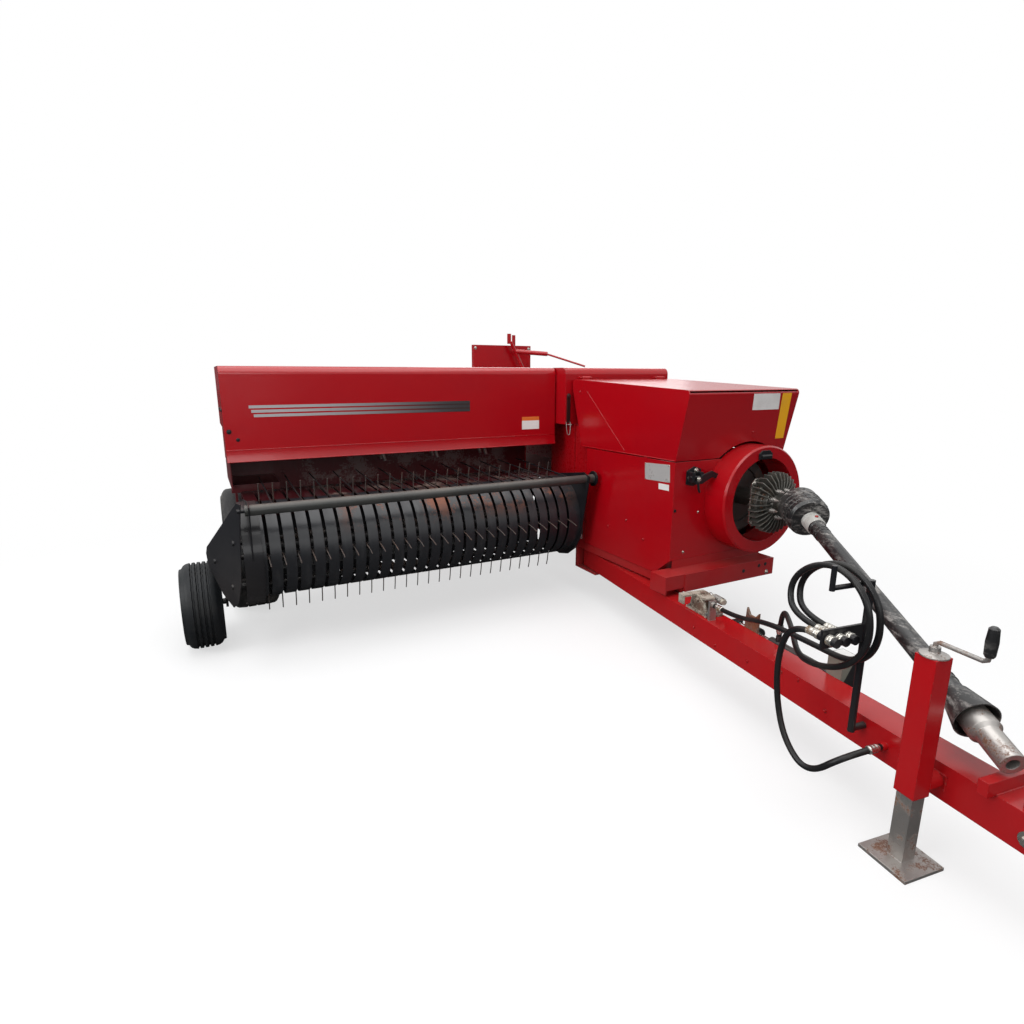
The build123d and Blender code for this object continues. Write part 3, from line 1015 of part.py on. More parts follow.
def bale_chute():
    length = 610.0
    floor = block(-CHUTE_HALF, CHUTE_HALF, 0, length, -4, 0)
    for x0 in (-CHUTE_HALF, CHUTE_HALF - 4):
        floor += sheet_x([(20, -4), (560, -4), (560, 110), (300, 96), (20, 26)], x0, x0 + 4)
    pin_x = CHUTE_LUG_X + 18
    floor += bar_x(CHUTE_PIN_R, -pin_x, pin_x, 0, 0)
    return {"bale_chute": Pos(0, CHUTE_HINGE_Y, CHUTE_HINGE_Z) * Rot(-CHUTE_DROP, 0, 0) * floor}


PIECES = (
    main_wheels, gauge_wheel, main_frame, bale_chamber, tension_frame, star_wheel, front_shield, shield_hoop, hood,
    gearbox, flywheel, slip_clutch, pto_shaft, tongue, hitch_clevis, jack, tongue_latch, latch_cylinder, hoses,
    pickup_strippers, pickup_sides, pickup_reel, gauge_arm, windguard, feeder_house, feeder_forks, feeder_cover,
    chamber_cover, twine_box, knotters, needles, bale_chute,
)

# Plan centre of the whole machine, which becomes the origin
shapes = {}
for make in PIECES:
    shapes.update(make())
boxes = [shape.bounding_box() for shape in shapes.values()]
PLAN_X = (min(box.min.X for box in boxes) + max(box.max.X for box in boxes)) / 2
PLAN_Y = (min(box.min.Y for box in boxes) + max(box.max.Y for box in boxes)) / 2

os.makedirs("parts", exist_ok=True)
for node, shape in shapes.items():
    moved = Pos(-PLAN_X, -PLAN_Y, 0) * shape
    export_step(moved, "parts/" + node + ".step")
print("plan centre", round(PLAN_X, 3), round(PLAN_Y, 3))
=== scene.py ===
import json
from math import cos, radians, sin, tau

import bmesh
import bpy
from mathutils import Euler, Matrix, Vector

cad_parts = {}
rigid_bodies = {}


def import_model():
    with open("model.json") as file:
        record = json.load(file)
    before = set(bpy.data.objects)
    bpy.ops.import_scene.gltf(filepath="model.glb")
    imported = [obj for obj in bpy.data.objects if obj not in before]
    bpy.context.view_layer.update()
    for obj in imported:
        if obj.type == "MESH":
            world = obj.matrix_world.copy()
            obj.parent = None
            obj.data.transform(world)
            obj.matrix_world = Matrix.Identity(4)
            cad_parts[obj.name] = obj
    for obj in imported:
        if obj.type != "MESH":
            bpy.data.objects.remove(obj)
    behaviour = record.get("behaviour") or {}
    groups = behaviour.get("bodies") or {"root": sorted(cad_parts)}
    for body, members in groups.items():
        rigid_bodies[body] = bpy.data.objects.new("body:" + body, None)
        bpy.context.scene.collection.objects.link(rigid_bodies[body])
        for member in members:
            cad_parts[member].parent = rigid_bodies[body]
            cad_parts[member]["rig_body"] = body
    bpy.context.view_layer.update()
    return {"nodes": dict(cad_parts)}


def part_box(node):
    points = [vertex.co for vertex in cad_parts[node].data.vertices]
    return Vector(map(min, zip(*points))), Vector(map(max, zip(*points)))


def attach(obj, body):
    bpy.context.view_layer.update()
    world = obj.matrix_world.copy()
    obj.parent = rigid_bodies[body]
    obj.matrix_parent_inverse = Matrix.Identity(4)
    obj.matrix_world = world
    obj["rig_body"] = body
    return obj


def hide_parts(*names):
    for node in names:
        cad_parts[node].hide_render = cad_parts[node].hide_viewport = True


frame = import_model()

# Camera
# It stands at the machine's right front corner at head height and looks slightly down,
# so that the drive shaft and the tongue run out of the picture's right side.
scene = bpy.context.scene
CHAMBER_X, AXLE_Y = 943.0, 671.703
SENSOR_WIDTH = 36.0
FOCAL_PIXELS, PICTURE_PIXELS = 600, 1024
DEGREES_DOWN, DEGREES_RIGHT = 12.86, 27.38


def spot(x, y, z):
    """Millimetres from the chamber's middle, the axle and the ground, as a point of the model."""
    return Vector(((x + CHAMBER_X) / 1000, (y + AXLE_Y) / 1000, z / 1000))


def placed(name, data):
    """A new object of the scene."""
    thing = bpy.data.objects.new(name, data)
    scene.collection.objects.link(thing)
    return thing


camera_data = bpy.data.cameras.new("photograph_camera")
camera_data.sensor_width = SENSOR_WIDTH
camera_data.lens = SENSOR_WIDTH * FOCAL_PIXELS / PICTURE_PIXELS
camera_data.clip_end = 200
camera = placed("photograph_camera", camera_data)
camera.location = spot(-2320, -3830, 1370)
camera.rotation_euler = Euler((radians(90 - DEGREES_DOWN), 0, radians(-DEGREES_RIGHT)))
scene.camera = camera
scene.view_settings.view_transform = "Standard"


# Hoses
# Three black rubber hydraulic hoses, 20 mm thick. Two run from the tongue's latch and
# cylinder once round the stand's hook; the third hangs slack beside the tongue.
def maths(operation, swapped=False):
    """A method of Value that adds one Math node, with the other number first where swapped."""
    def method(value, other):
        first, second = (other, value) if swapped else (value, other)
        return value.finish.node("Math", {"operation": operation}, {0: first, 1: second})
    return method


class Value:
    """One number output of a finish, which can be used in sums."""
    __add__, __radd__ = maths("ADD"), maths("ADD", True)
    __sub__, __rsub__ = maths("SUBTRACT"), maths("SUBTRACT", True)
    __mul__, __rmul__ = maths("MULTIPLY"), maths("MULTIPLY", True)
    most = maths("MAXIMUM")

    def __init__(self, finish, socket):
        self.finish = finish
        self.socket = socket

    def step(self, low, high):
        """0 below low, 1 above high, smooth between."""
        return self.finish.node("MapRange", {"interpolation_type": "SMOOTHSTEP", "clamp": True},
                                {"Value": self, "From Min": low, "From Max": high})


class Finish:
    """A material whose nodes all come from node()."""

    def __init__(self, name):
        self.material = bpy.data.materials.new(name)
        self.material.use_nodes = True
        self.tree = self.material.node_tree
        self.tree.nodes.clear()
        self.place = self.node("TexCoord", {}, {}, "Object")
        self.facing = self.node("NewGeometry", {}, {}, "Normal")

    def node(self, kind, settings, sockets, output=0):
        made = self.tree.nodes.new("ShaderNode" + kind)
        for key, value in settings.items():
            setattr(made, key, value)
        for key, value in sockets.items():
            self.feed(made.inputs[key], value)
        return Value(self, made.outputs[output])

    def feed(self, socket, value):
        if isinstance(value, Value):
            self.tree.links.new(value.socket, socket)
        elif hasattr(value, "__len__") and len(value) == 3 and socket.type == "RGBA":
            socket.default_value = (*value, 1)
        else:
            socket.default_value = value

    def noise(self, scale, detail=3.0, rough=0.55, stretch=(1, 1, 1)):
        where = self.place
        if stretch != (1, 1, 1):
            where = self.node("Mapping", {}, {"Vector": where, "Scale": stretch})
        return self.node("TexNoise", {}, {"Vector": where, "Scale": scale, "Detail": detail, "Roughness": rough})

    def part(self, vector, axis):
        return self.node("SeparateXYZ", {}, {0: vector}, "XYZ".index(axis))

    def blend(self, share, first, second):
        return self.node("Mix", {"data_type": "RGBA"}, {0: share, 6: first, 7: second}, 2)

    def edges(self, radius):
        """1 on edges and corners, and the rounded normal there."""
        rounded = self.node("Bevel", {"samples": 4}, {"Radius": radius})
        along = self.node("VectorMath", {"operation": "DOT_PRODUCT"}, {0: rounded, 1: self.facing}, "Value")
        return (1 - along).step(0.015, 0.14), rounded

    def bump(self, height, depth, normal=None):
        sockets = {"Height": height, "Distance": depth}
        if normal is not None:
            sockets["Normal"] = normal
        return self.node("Bump", {}, sockets)

    def principled(self, **sockets):
        return self.output(self.node("BsdfPrincipled", {}, {k.replace("_", " "): v for k, v in sockets.items()}))

    def output(self, shader):
        out = self.tree.nodes.new("ShaderNodeOutputMaterial")
        self.tree.links.new(shader.socket, out.inputs["Surface"])
        return self.material


def moulded(name, colour, dirt, rough, grain_depth=0.0002, dust_share=0.5):
    """Rubber or plastic straight from the mould, with dust held in its grain."""
    f = Finish(name)
    edge, rounded = f.edges(0.002)
    cloud = f.noise(7, 4)
    grain = f.noise(220, 3, 0.6)
    dusty = (cloud.step(0.42, 0.7) * 0.6 + grain.step(0.5, 0.7) * 0.3) * dust_share * (1 - edge * 0.4)
    colour_now = f.blend(dusty, colour, dirt)
    return f.principled(Base_Color=colour_now, Roughness=rough + dusty * 0.3, Specular_IOR_Level=0.28,
                        Normal=f.bump(grain, grain_depth, rounded))


hose_rubber = moulded("hose_rubber", (0.01, 0.01, 0.011), (0.07, 0.065, 0.055), rough=0.33, grain_depth=0.0001,
                      dust_share=0.35)
TONGUE_TURN = radians(8.17)
HOSE_D = 0.02
PIVOT_X, PIVOT_Y = -178, -880


def on_tongue(along, side, z):
    """A point in millimetres along the folded tongue from its pivot, and out to its left."""
    x = PIVOT_X + side * cos(TONGUE_TURN) - along * sin(TONGUE_TURN)
    y = PIVOT_Y - side * sin(TONGUE_TURN) - along * cos(TONGUE_TURN)
    return spot(x, y, z)


COIL = ((1972, 498), (2044, 600), (2024, 740), (1916, 812), (1800, 776), (1740, 690))
STAND_FACE, COUPLER_Z = 1936, 600
COUPLER_SIDES = LIFT_SIDE, SWING_SIDE, SLACK_SIDE = -190, -226, -262


def coiled_to(first_side, coupler_side):
    """Once round the stand's hook, each point 5 mm further out, then straight to a coupler."""
    coil = [(along, first_side - 5 * n, z) for n, (along, z) in enumerate(COIL)]
    return coil + [(1790, coupler_side, COUPLER_Z), (STAND_FACE, coupler_side, COUPLER_Z)]


HOSES = {
    "lift_hose": [(1160, -30, 372), (1300, -30, 372), (1540, -96, 460), (1780, -128, 486)]
    + coiled_to(-142, LIFT_SIDE),
    "swing_hose": [(1420, 92, 322), (1420, 92, 458), (1600, -30, 452), (1740, -138, 424), (1860, -172, 446)]
    + coiled_to(-182, SWING_SIDE),
    "slack_hose": [(STAND_FACE, SLACK_SIDE, COUPLER_Z), (1828, SLACK_SIDE, COUPLER_Z), (1778, -260, 478),
                   (1786, -258, 320), (1836, -254, 180), (1936, -246, 116), (2040, -220, 245), (2040, -78, 245)],
}
for name, route in HOSES.items():
    curve = bpy.data.curves.new(name + "_rubber", "CURVE")
    curve.dimensions = "3D"
    line = curve.splines.new("NURBS")
    line.points.add(len(route) - 1)
    for point, place in zip(line.points, route):
        point.co = (*on_tongue(*place), 1)
    line.order_u = 3
    line.use_endpoint_u = True
    line.resolution_u = 12
    curve.bevel_depth = HOSE_D / 2
    curve.bevel_resolution = 4
    curve.use_fill_caps = True
    curve.materials.append(hose_rubber)
    hose = placed(name + "_rubber", curve)
    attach(hose, "tongue")
    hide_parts(name)


def piece_from(name, work, finish, body, smooth=40.0):
    """A new piece from a bmesh, on its body."""
    bmesh.ops.recalc_face_normals(work, faces=work.faces)
    mesh = bpy.data.meshes.new(name)
    work.to_mesh(mesh)
    work.free()
    mesh.polygons.foreach_set("use_smooth", [True] * len(mesh.polygons))
    mesh.set_sharp_from_angle(angle=radians(smooth))
    mesh.materials.append(finish)
    piece = placed(name, mesh)
    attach(piece, body)
    return piece


def skinned(work, rings):
    """Vertices on rings of points, faces from each ring to the next, and a flat face on both ends."""
    rings = [[work.verts.new(point) for point in ring] for ring in rings]
    count = len(rings[0])
    for near, far in zip(rings, rings[1:]):
        for n in range(count):
            work.faces.new((near[n], near[(n + 1) % count], far[(n + 1) % count], far[n]))
    work.faces.new(rings[0])
    work.faces.new(rings[-1])


def spokes(axis, sides, count):
    """Unit vectors square to an axis, one after another round it."""
    guide = axis.orthogonal().normalized()
    across = axis.cross(guide)
    return [guide * cos(tau * n / sides) + across * sin(tau * n / sides) for n in range(count)]


def turned(work, base, axis, outline, sides=32):
    """Turns an outline of (along, radius) about an axis that starts at the base, in metres."""
    axis = axis.normalized()
    around = spokes(axis, sides, sides)
    skinned(work, [[base + axis * along + out * radius for out in around] for along, radius in outline])


def worn_steel(name, clean, brown, share, rough=0.4, metal=0.85):
    """Bare steel, bright where it rubs and brown where it doesn't."""
    f = Finish(name)
    edge, rounded = f.edges(0.003)
    patches = f.noise(14, 5, 0.62)
    fine = f.noise(160, 4, 0.7)
    rust = (patches + (fine - 0.5) * 0.5).step(0.62 - 0.3 * share, 0.78 - 0.3 * share) * (1 - edge * 0.6)
    colour_now = f.blend(rust, clean, brown)
    colour_now = f.blend(fine.step(0.45, 0.8) * rust * 0.6, colour_now, tuple(c * 0.45 for c in brown))
    return f.principled(Base_Color=colour_now, Metallic=metal * (1 - rust), Roughness=rough + rust * 0.35,
                        Normal=f.bump(fine * (0.3 + rust), 0.0004, rounded))


plated = worn_steel("plated_steel", (0.62, 0.6, 0.55), (0.2, 0.13, 0.07), 0.12, rough=0.26, metal=0.95)
TONGUE_LEFT = on_tongue(0, 1, 0) - on_tongue(0, 0, 0)
TONGUE_LEFT.normalize()
TONGUE_AHEAD = on_tongue(1, 0, 0) - on_tongue(0, 0, 0)
TONGUE_AHEAD.normalize()

# Crimped sleeves with a hexagon behind each coupler and gland
work = bmesh.new()
SLEEVE = ((0, 0.0104), (0.003, 0.0134), (0.01, 0.0134), (0.012, 0.0126), (0.015, 0.0134), (0.022, 0.0134),
          (0.024, 0.0126), (0.027, 0.0134), (0.034, 0.0134), (0.036, 0.0115), (0.04, 0.0115))
for side in COUPLER_SIDES:
    turned(work, on_tongue(STAND_FACE - 50, side, COUPLER_Z), TONGUE_AHEAD, SLEEVE, 20)
    turned(work, on_tongue(STAND_FACE - 12, side, COUPLER_Z), TONGUE_AHEAD, ((0, 0.0155), (0.0115, 0.0155)), 6)
turned(work, on_tongue(1212, -30, 372), -TONGUE_AHEAD, SLEEVE, 20)
turned(work, on_tongue(1420, 92, 374), Vector((0, 0, -1)), SLEEVE, 20)
turned(work, on_tongue(2040, -130, 245), TONGUE_LEFT, SLEEVE, 20)
piece_from("hose_sleeves", work, plated, "tongue")

# Loose collars on the couplers' far ends
work = bmesh.new()
for side in COUPLER_SIDES:
    turned(work, on_tongue(STAND_FACE + 30, side, COUPLER_Z), TONGUE_AHEAD,
           ((0, 0.0152), (0.002, 0.0172), (0.008, 0.0172), (0.009, 0.016), (0.011, 0.016), (0.012, 0.0172),
            (0.018, 0.0172), (0.02, 0.0152)), 24)
piece_from("coupler_collars", work, plated, "tongue")


# Tyres
# Three implement tyres with straight ribs. The ribs' sides zigzag a little and the
# shoulders are rounded; the walls carry plain moulded rings and no lettering.
rubber = moulded("tyre_rubber", (0.007, 0.0085, 0.0105), (0.045, 0.042, 0.036), rough=0.5, grain_depth=0.0003,
                 dust_share=0.35)


def lathe(work, outline, centre, turns, wave):
    """Turns a closed (x, radius) outline about the X axis through a point."""
    rows = []
    for n in range(turns):
        a = tau * n / turns
        rows.append([work.verts.new(centre + Vector((x + wave(index, a), r * cos(a), r * sin(a))))
                     for index, (x, r) in enumerate(outline)])
    count = len(outline)
    for n in range(turns):
        near, far = rows[n], rows[(n + 1) % turns]
        for m in range(count):
            work.faces.new((near[m], far[m], far[(m + 1) % count], near[(m + 1) % count]))


def ribbed_tyre(node, body, ribs, bore, turns, finish, sway):
    """A tyre on its CAD node's centre: walls from the bore out, and a tread whose grooves sway."""
    low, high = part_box(node)
    centre = (low + high) / 2
    radius = (high.z - low.z) / 2
    half = (high.x - low.x) / 2
    wall = radius - bore
    side = [(half - inset, bore + rise) for inset, rise in ((0.034, 0.0005), (0.024, 0.012), (0.02, 0.016))]
    side += [(half - inset, bore + share * wall) for inset, share in
             ((0.013, 0.1), (0.013, 0.13), (0.007, 0.15), (0.002, 0.4), (0.0005, 0.58), (0.002, 0.7),
              (0.0005, 0.715), (0.0015, 0.745), (0.005, 0.76))]
    side += [(half - inset, radius - drop) for inset, drop in ((0.012, 0.026), (0.022, 0.011), (0.034, 0.004))]
    span = 2 * (half - 0.034)
    groove = ((0.0065, 0.0005), (0.0045, 0.003), (0.0035, 0.0098))
    tread = []
    for n in range(ribs - 1):
        at = span / 2 - span * (n + 1) / ribs
        tread += [(at + out, radius - deep) for out, deep in groove]
        tread += [(at - out, radius - deep) for out, deep in reversed(groove)]
    first, last = len(side), len(side) + len(tread)

    def wave(index, a):
        phase = (a * turns / tau) % 4 / 4
        return (abs(phase - 0.5) - 0.25) * sway if first <= index < last else 0.0

    work = bmesh.new()
    lathe(work, side + tread + [(-x, r) for x, r in reversed(side)], centre, turns, wave)
    tyre = piece_from(node + "_moulded", work, finish, body, 50)
    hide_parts(node)


dusty_rubber = moulded("dusty_rubber", (0.022, 0.022, 0.023), (0.18, 0.17, 0.155), rough=0.62,
                       grain_depth=0.0003, dust_share=0.8)
for side in ("left", "right"):
    ribbed_tyre(side + "_tyre", side + "_wheel", ribs=4, bore=0.185, turns=160, finish=dusty_rubber, sway=0.009)
ribbed_tyre("gauge_tyre", "gauge_wheel", ribs=5, bore=0.105, turns=128, finish=rubber, sway=0.004)


# Rims
# Pressed wheels with a drop centre, sprayed a pale colour, on stub hubs. The wheel nuts
# are plated and dulled, the hub caps are pressed steel.
FIELD_DUST = (0.3, 0.24, 0.2)


def sprayed(name, colour, faded, dust=0.35, chips=0.5, rough=0.3, coat=0.5, under=(0.1, 0.045, 0.03),
            shine=0.5):
    """Sprayed enamel on sheet steel: uneven fade, dust on tops and low down, chipped edges."""
    f = Finish(name)
    up = f.part(f.facing, "Z")
    height = f.part(f.place, "Z")
    cloud = f.noise(2.2, 4)
    grain = f.noise(60, 3, 0.7)
    specks = f.noise(420, 2, 0.6)
    runs = f.noise(9, 3, 0.6, (1, 1, 0.12))
    edge, rounded = f.edges(0.0035)
    colour_now = f.blend(cloud.step(0.35, 0.75) * 0.55, colour, faded)
    low_dirt = (1 - height.step(0.25, 0.75)) * 0.4
    dusty = (up.step(0.2, 0.95) * 0.5 + low_dirt + runs.step(0.58, 0.78) * 0.12) * dust * cloud.step(0.25, 0.7)
    dusty = dusty * (0.75 + grain * 0.5)
    colour_now = f.blend(dusty, colour_now, FIELD_DUST)
    chip = edge * grain.step(0.56 - 0.06 * chips, 0.66) * chips
    spots = specks.step(0.76, 0.8) * f.noise(9, 2).step(0.6, 0.75) * chips * 0.6
    bare = chip.most(spots)
    colour_now = f.blend(bare, colour_now, under)
    gloss = rough + dusty * 0.9 + bare * 0.4 + (grain - 0.5) * 0.08
    skin = f.bump(f.noise(260, 2, 0.5), 0.0001, rounded)
    skin = f.bump(f.noise(5, 2, 0.4), 0.0012, skin)
    return f.principled(Base_Color=colour_now, Roughness=gloss, Specular_IOR_Level=shine, Normal=skin,
                        Coat_Weight=coat * (1 - bare), Coat_Roughness=0.05)


def settle(piece):
    """Turns a piece's modifiers into its own mesh."""
    bpy.context.view_layer.update()
    mesh = bpy.data.meshes.new_from_object(piece.evaluated_get(bpy.context.evaluated_depsgraph_get()))
    piece.modifiers.clear()
    piece.data = mesh


def dressed(node, finish, crease=32.0):
    """A merged copy of a CAD node, smooth on its curves and sharp at its folds."""
    source = frame["nodes"][node]
    mesh = source.data.copy()
    mesh.name = node + "_finished"
    work = bmesh.new()
    work.from_mesh(mesh)
    bmesh.ops.remove_doubles(work, verts=work.verts, dist=0.00002)
    work.to_mesh(mesh)
    work.free()
    if mesh.has_custom_normals:
        mesh.attributes.remove(mesh.attributes["custom_normal"])
    mesh.polygons.foreach_set("use_smooth", [True] * len(mesh.polygons))
    mesh.set_sharp_from_angle(angle=radians(crease))
    mesh.materials.clear()
    mesh.materials.append(finish)
    piece = placed(node + "_finished", mesh)
    weigh = piece.modifiers.new("weigh", "WEIGHTED_NORMAL")
    weigh.keep_sharp = True
    settle(piece)
    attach(piece, source["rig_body"])
    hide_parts(node)
    return piece


def screw_tree():
    """Node tree that sets a hexagon screw with its washer on each point, turned at random."""
    tree = bpy.data.node_groups.new("hexagon_screws", "GeometryNodeTree")
    face = tree.interface
    for title, kind in (("Geometry", "Geometry"), ("Across flats", "Float"), ("Seed", "Int"), ("Finish", "Material")):
        face.new_socket(title, in_out="INPUT", socket_type="NodeSocket" + kind)
    face.new_socket("Geometry", in_out="OUTPUT", socket_type="NodeSocketGeometry")

    def add(kind, settings, sockets):
        made = tree.nodes.new(kind)
        for key, value in settings.items():
            setattr(made, key, value)
        for key, value in sockets.items():
            if isinstance(value, bpy.types.NodeSocket):
                tree.links.new(value, made.inputs[key])
            else:
                made.inputs[key].default_value = value
        return made

    entry = tree.nodes.new("NodeGroupInput")
    flats = entry.outputs["Across flats"]

    def sized(share):
        return add("ShaderNodeMath", {"operation": "MULTIPLY"}, {0: flats, 1: share}).outputs[0]

    def ring(corners, radius, top, low, high):
        cone = add("GeometryNodeMeshCone", {}, {"Vertices": corners, "Radius Bottom": sized(radius),
                                                "Radius Top": sized(top), "Depth": sized(high - low)})
        lift = add("ShaderNodeCombineXYZ", {}, {"Z": sized(low)})
        moved = {"Geometry": cone.outputs["Mesh"], "Translation": lift.outputs[0]}
        return add("GeometryNodeTransform", {}, moved).outputs[0]

    screw = add("GeometryNodeJoinGeometry", {}, {})
    for part in (ring(14, 0.98, 0.96, 0, 0.12), ring(6, 0.577, 0.577, 0.12, 0.62), ring(12, 0.5, 0.42, 0.62, 0.68)):
        tree.links.new(part, screw.inputs[0])
    facing = add("GeometryNodeInputNamedAttribute", {"data_type": "FLOAT_VECTOR"}, {"Name": "facing"})
    upright = add("FunctionNodeAlignRotationToVector", {"axis": "Z"}, {"Vector": facing.outputs["Attribute"]})
    turn = add("FunctionNodeRandomValue", {"data_type": "FLOAT"}, {2: 0.0, 3: tau, "Seed": entry.outputs["Seed"]})
    spin = add("FunctionNodeAxisAngleToRotation", {}, {"Axis": (0, 0, 1), "Angle": turn.outputs[1]})
    whole = add("FunctionNodeRotateRotation", {"rotation_space": "LOCAL"},
                {"Rotation": upright.outputs[0], "Rotate By": spin.outputs[0]})
    placed = add("GeometryNodeInstanceOnPoints", {}, {"Points": entry.outputs[0], "Instance": screw.outputs[0],
                                                      "Rotation": whole.outputs[0]})
    solid = add("GeometryNodeRealizeInstances", {}, {0: placed.outputs[0]})
    done = add("GeometryNodeSetMaterial", {}, {0: solid.outputs[0], "Material": entry.outputs["Finish"]})
    tree.links.new(done.outputs[0], tree.nodes.new("NodeGroupOutput").inputs[0])
    return tree


SCREWS = screw_tree()


def screws(name, places, across, finish, body, seed=3):
    """Hexagon screws at (point, outward direction) places, across flats in metres."""
    mesh = bpy.data.meshes.new(name)
    mesh.from_pydata([tuple(point) for point, _ in places], [], [])
    facing = mesh.attributes.new("facing", "FLOAT_VECTOR", "POINT")
    for item, (_, outward) in zip(facing.data, places):
        item.vector = outward
    piece = placed(name, mesh)
    grow = piece.modifiers.new("screws", "NODES")
    grow.node_group = SCREWS
    inputs = {item.name: item.identifier for item in SCREWS.interface.items_tree if item.in_out == "INPUT"}
    grow[inputs["Across flats"]] = across
    grow[inputs["Seed"]] = seed
    grow[inputs["Finish"]] = finish
    settle(piece)
    piece.data.set_sharp_from_angle(angle=radians(30))
    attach(piece, body)
    return piece


cream = sprayed("cream_enamel", (0.6, 0.58, 0.52), (0.5, 0.47, 0.4), dust=0.9, chips=0.7, rough=0.4, coat=0.2)
LEFT, RIGHT = Vector((1, 0, 0)), Vector((-1, 0, 0))
WHEELS = (("left", spot(470, 0, 360), LEFT), ("right", spot(-2120, 0, 360), RIGHT))
for side, centre, outward in WHEELS:
    dressed(side + "_rim", cream)
    nuts = []
    for n in range(6):
        a = tau * n / 6
        nuts.append((centre + outward * 0.0265 + Vector((0, cos(a), sin(a) * -outward.x)) * 0.072, outward))
    screws(side + "_wheel_nuts", nuts, 0.021, plated, side + "_wheel", 5)
    work = bmesh.new()
    turned(work, centre + outward * 0.0775, outward,
           ((0, 0.05), (0.003, 0.047), (0.004, 0.036), (0.02, 0.034), (0.026, 0.028), (0.029, 0.014)), 32)
    piece_from(side + "_hub_cap", work, cream, side + "_wheel")
    work = bmesh.new()
    stem = centre + outward * 0.03 + Vector((0, 0.118, 0.098))
    turned(work, stem, outward + Vector((0, 0.12, 0.1)),
           ((0, 0.0058), (0.02, 0.005), (0.021, 0.0038), (0.034, 0.0038), (0.035, 0.005), (0.044, 0.005),
            (0.045, 0.0036)), 14)
    piece_from(side + "_valve", work, rubber, side + "_wheel")
dressed("gauge_rim", cream)
gauge_hub = spot(-2396, -520, 220)
work = bmesh.new()
turned(work, gauge_hub + RIGHT * 0.0595, RIGHT,
       ((0, 0.03), (0.003, 0.027), (0.012, 0.026), (0.017, 0.018), (0.018, 0.008)), 28)
piece_from("gauge_hub_cap", work, cream, "gauge_wheel")


# Main frame and chamber
# Square tube rails and axle welded to a rectangular duct of plate. Angle iron yokes close
# round the duct's tail, drawn together by two springs with crank handles.
dusty_red = sprayed("dusty_red_enamel", (0.38, 0.0025, 0.0065), (0.3, 0.006, 0.01), dust=0.2, chips=0.3, rough=0.28,
                    coat=0.12, shine=0.4)
steel = worn_steel("worn_steel", (0.42, 0.4, 0.38), (0.17, 0.075, 0.04), 0.35)
dull = worn_steel("dull_screw_steel", (0.2, 0.19, 0.18), (0.13, 0.075, 0.05), 0.5, rough=0.5, metal=0.6)


def swept(work, path, radius, sides=8):
    """A round bar along a list of points, with flat ends."""
    guide = Vector((0.31, 0.52, 0.79))
    rings = []
    for n, point in enumerate(path):
        ahead = (path[min(n + 1, len(path) - 1)] - path[max(n - 1, 0)]).normalized()
        guide = (guide - ahead * guide.dot(ahead)).normalized()
        across = ahead.cross(guide)
        rings.append([point + (guide * cos(tau * m / sides) + across * sin(tau * m / sides)) * radius
                      for m in range(sides)])
    skinned(work, rings)


def coil_path(base, axis, length, radius, turns, steps=12):
    """Points of a helix about an axis."""
    axis = axis.normalized()
    count = int(turns * steps)
    return [base + axis * (length * n / count) + out * radius for n, out in enumerate(spokes(axis, steps, count + 1))]


def slab(work, corners, depth):
    """A flat plate from its corner points, thickened by a vector."""
    skinned(work, [corners, [corner + depth for corner in corners]])


UP, DOWN = Vector((0, 0, 1)), Vector((0, 0, -1))
AHEAD, BACK = Vector((0, -1, 0)), Vector((0, 1, 0))
for node in ("main_frame", "bale_chamber", "tension_yokes"):
    dressed(node, dusty_red)
for node in ("star_bracket", "star_wheel"):
    dressed(node, steel)

rib_screws = []
for y in (-655, 230, 930):
    for z in (742, 880, 1018):
        rib_screws.append((spot(244.5, y, z), LEFT))
        if y > 0:
            rib_screws.append((spot(-244.5, y, z), RIGHT))
for y in (1270, 1530):
    for z in (700, 790, 960, 1050):
        rib_screws.append((spot(274.8, y, z), LEFT))
        rib_screws.append((spot(-274.8, y, z), RIGHT))
for x in (-180, 180):
    for y in (1270, 1530):
        rib_screws.append((spot(x, y, 1102.3), UP))
for x in (-235, -130, 10, 120, 215):
    rib_screws.append((spot(x, -950, 324), UP))
screws("frame_screws", rib_screws, 0.015, dull, "frame", 11)

# Both spring cranks: threaded rod, coil spring between two cups, cranked handle
work = bmesh.new()
springs = bmesh.new()
for x in (-120, 120):
    foot = spot(x, 1530, 1102.6)
    turned(work, foot, UP, ((0, 0.024), (0.006, 0.024), (0.008, 0.02), (0.02, 0.02), (0.021, 0.0095)), 24)
    swept(work, [foot, foot + UP * 0.252], 0.009, 12)
    turned(work, foot + UP * 0.148, UP,
           ((0, 0.0095), (0.001, 0.025), (0.007, 0.025), (0.008, 0.016), (0.02, 0.016)), 24)
    turned(work, foot + UP * 0.168, UP, ((0, 0.017), (0.014, 0.017)), 6)
    bend = foot + UP * 0.245
    handle = bend - LEFT * 0.09
    swept(work, [bend + LEFT * 0.008, bend - LEFT * 0.08, handle + UP * 0.008], 0.008, 12)
    turned(work, handle - UP * 0.008, UP, ((0, 0.009), (0.004, 0.012), (0.058, 0.0105), (0.062, 0.008)), 16)
    swept(springs, coil_path(foot + UP * 0.022, UP, 0.126, 0.0205, 7.5), 0.0045, 7)
cranks = piece_from("spring_cranks", work, steel, "frame")
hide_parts("tension_cranks")
black = sprayed("black_enamel", (0.0075, 0.008, 0.0105), (0.014, 0.014, 0.016), dust=0.16, chips=0.5, rough=0.3,
                coat=0.15, under=(0.1, 0.06, 0.04), shine=0.3)
piece_from("tension_springs", springs, black, "frame")


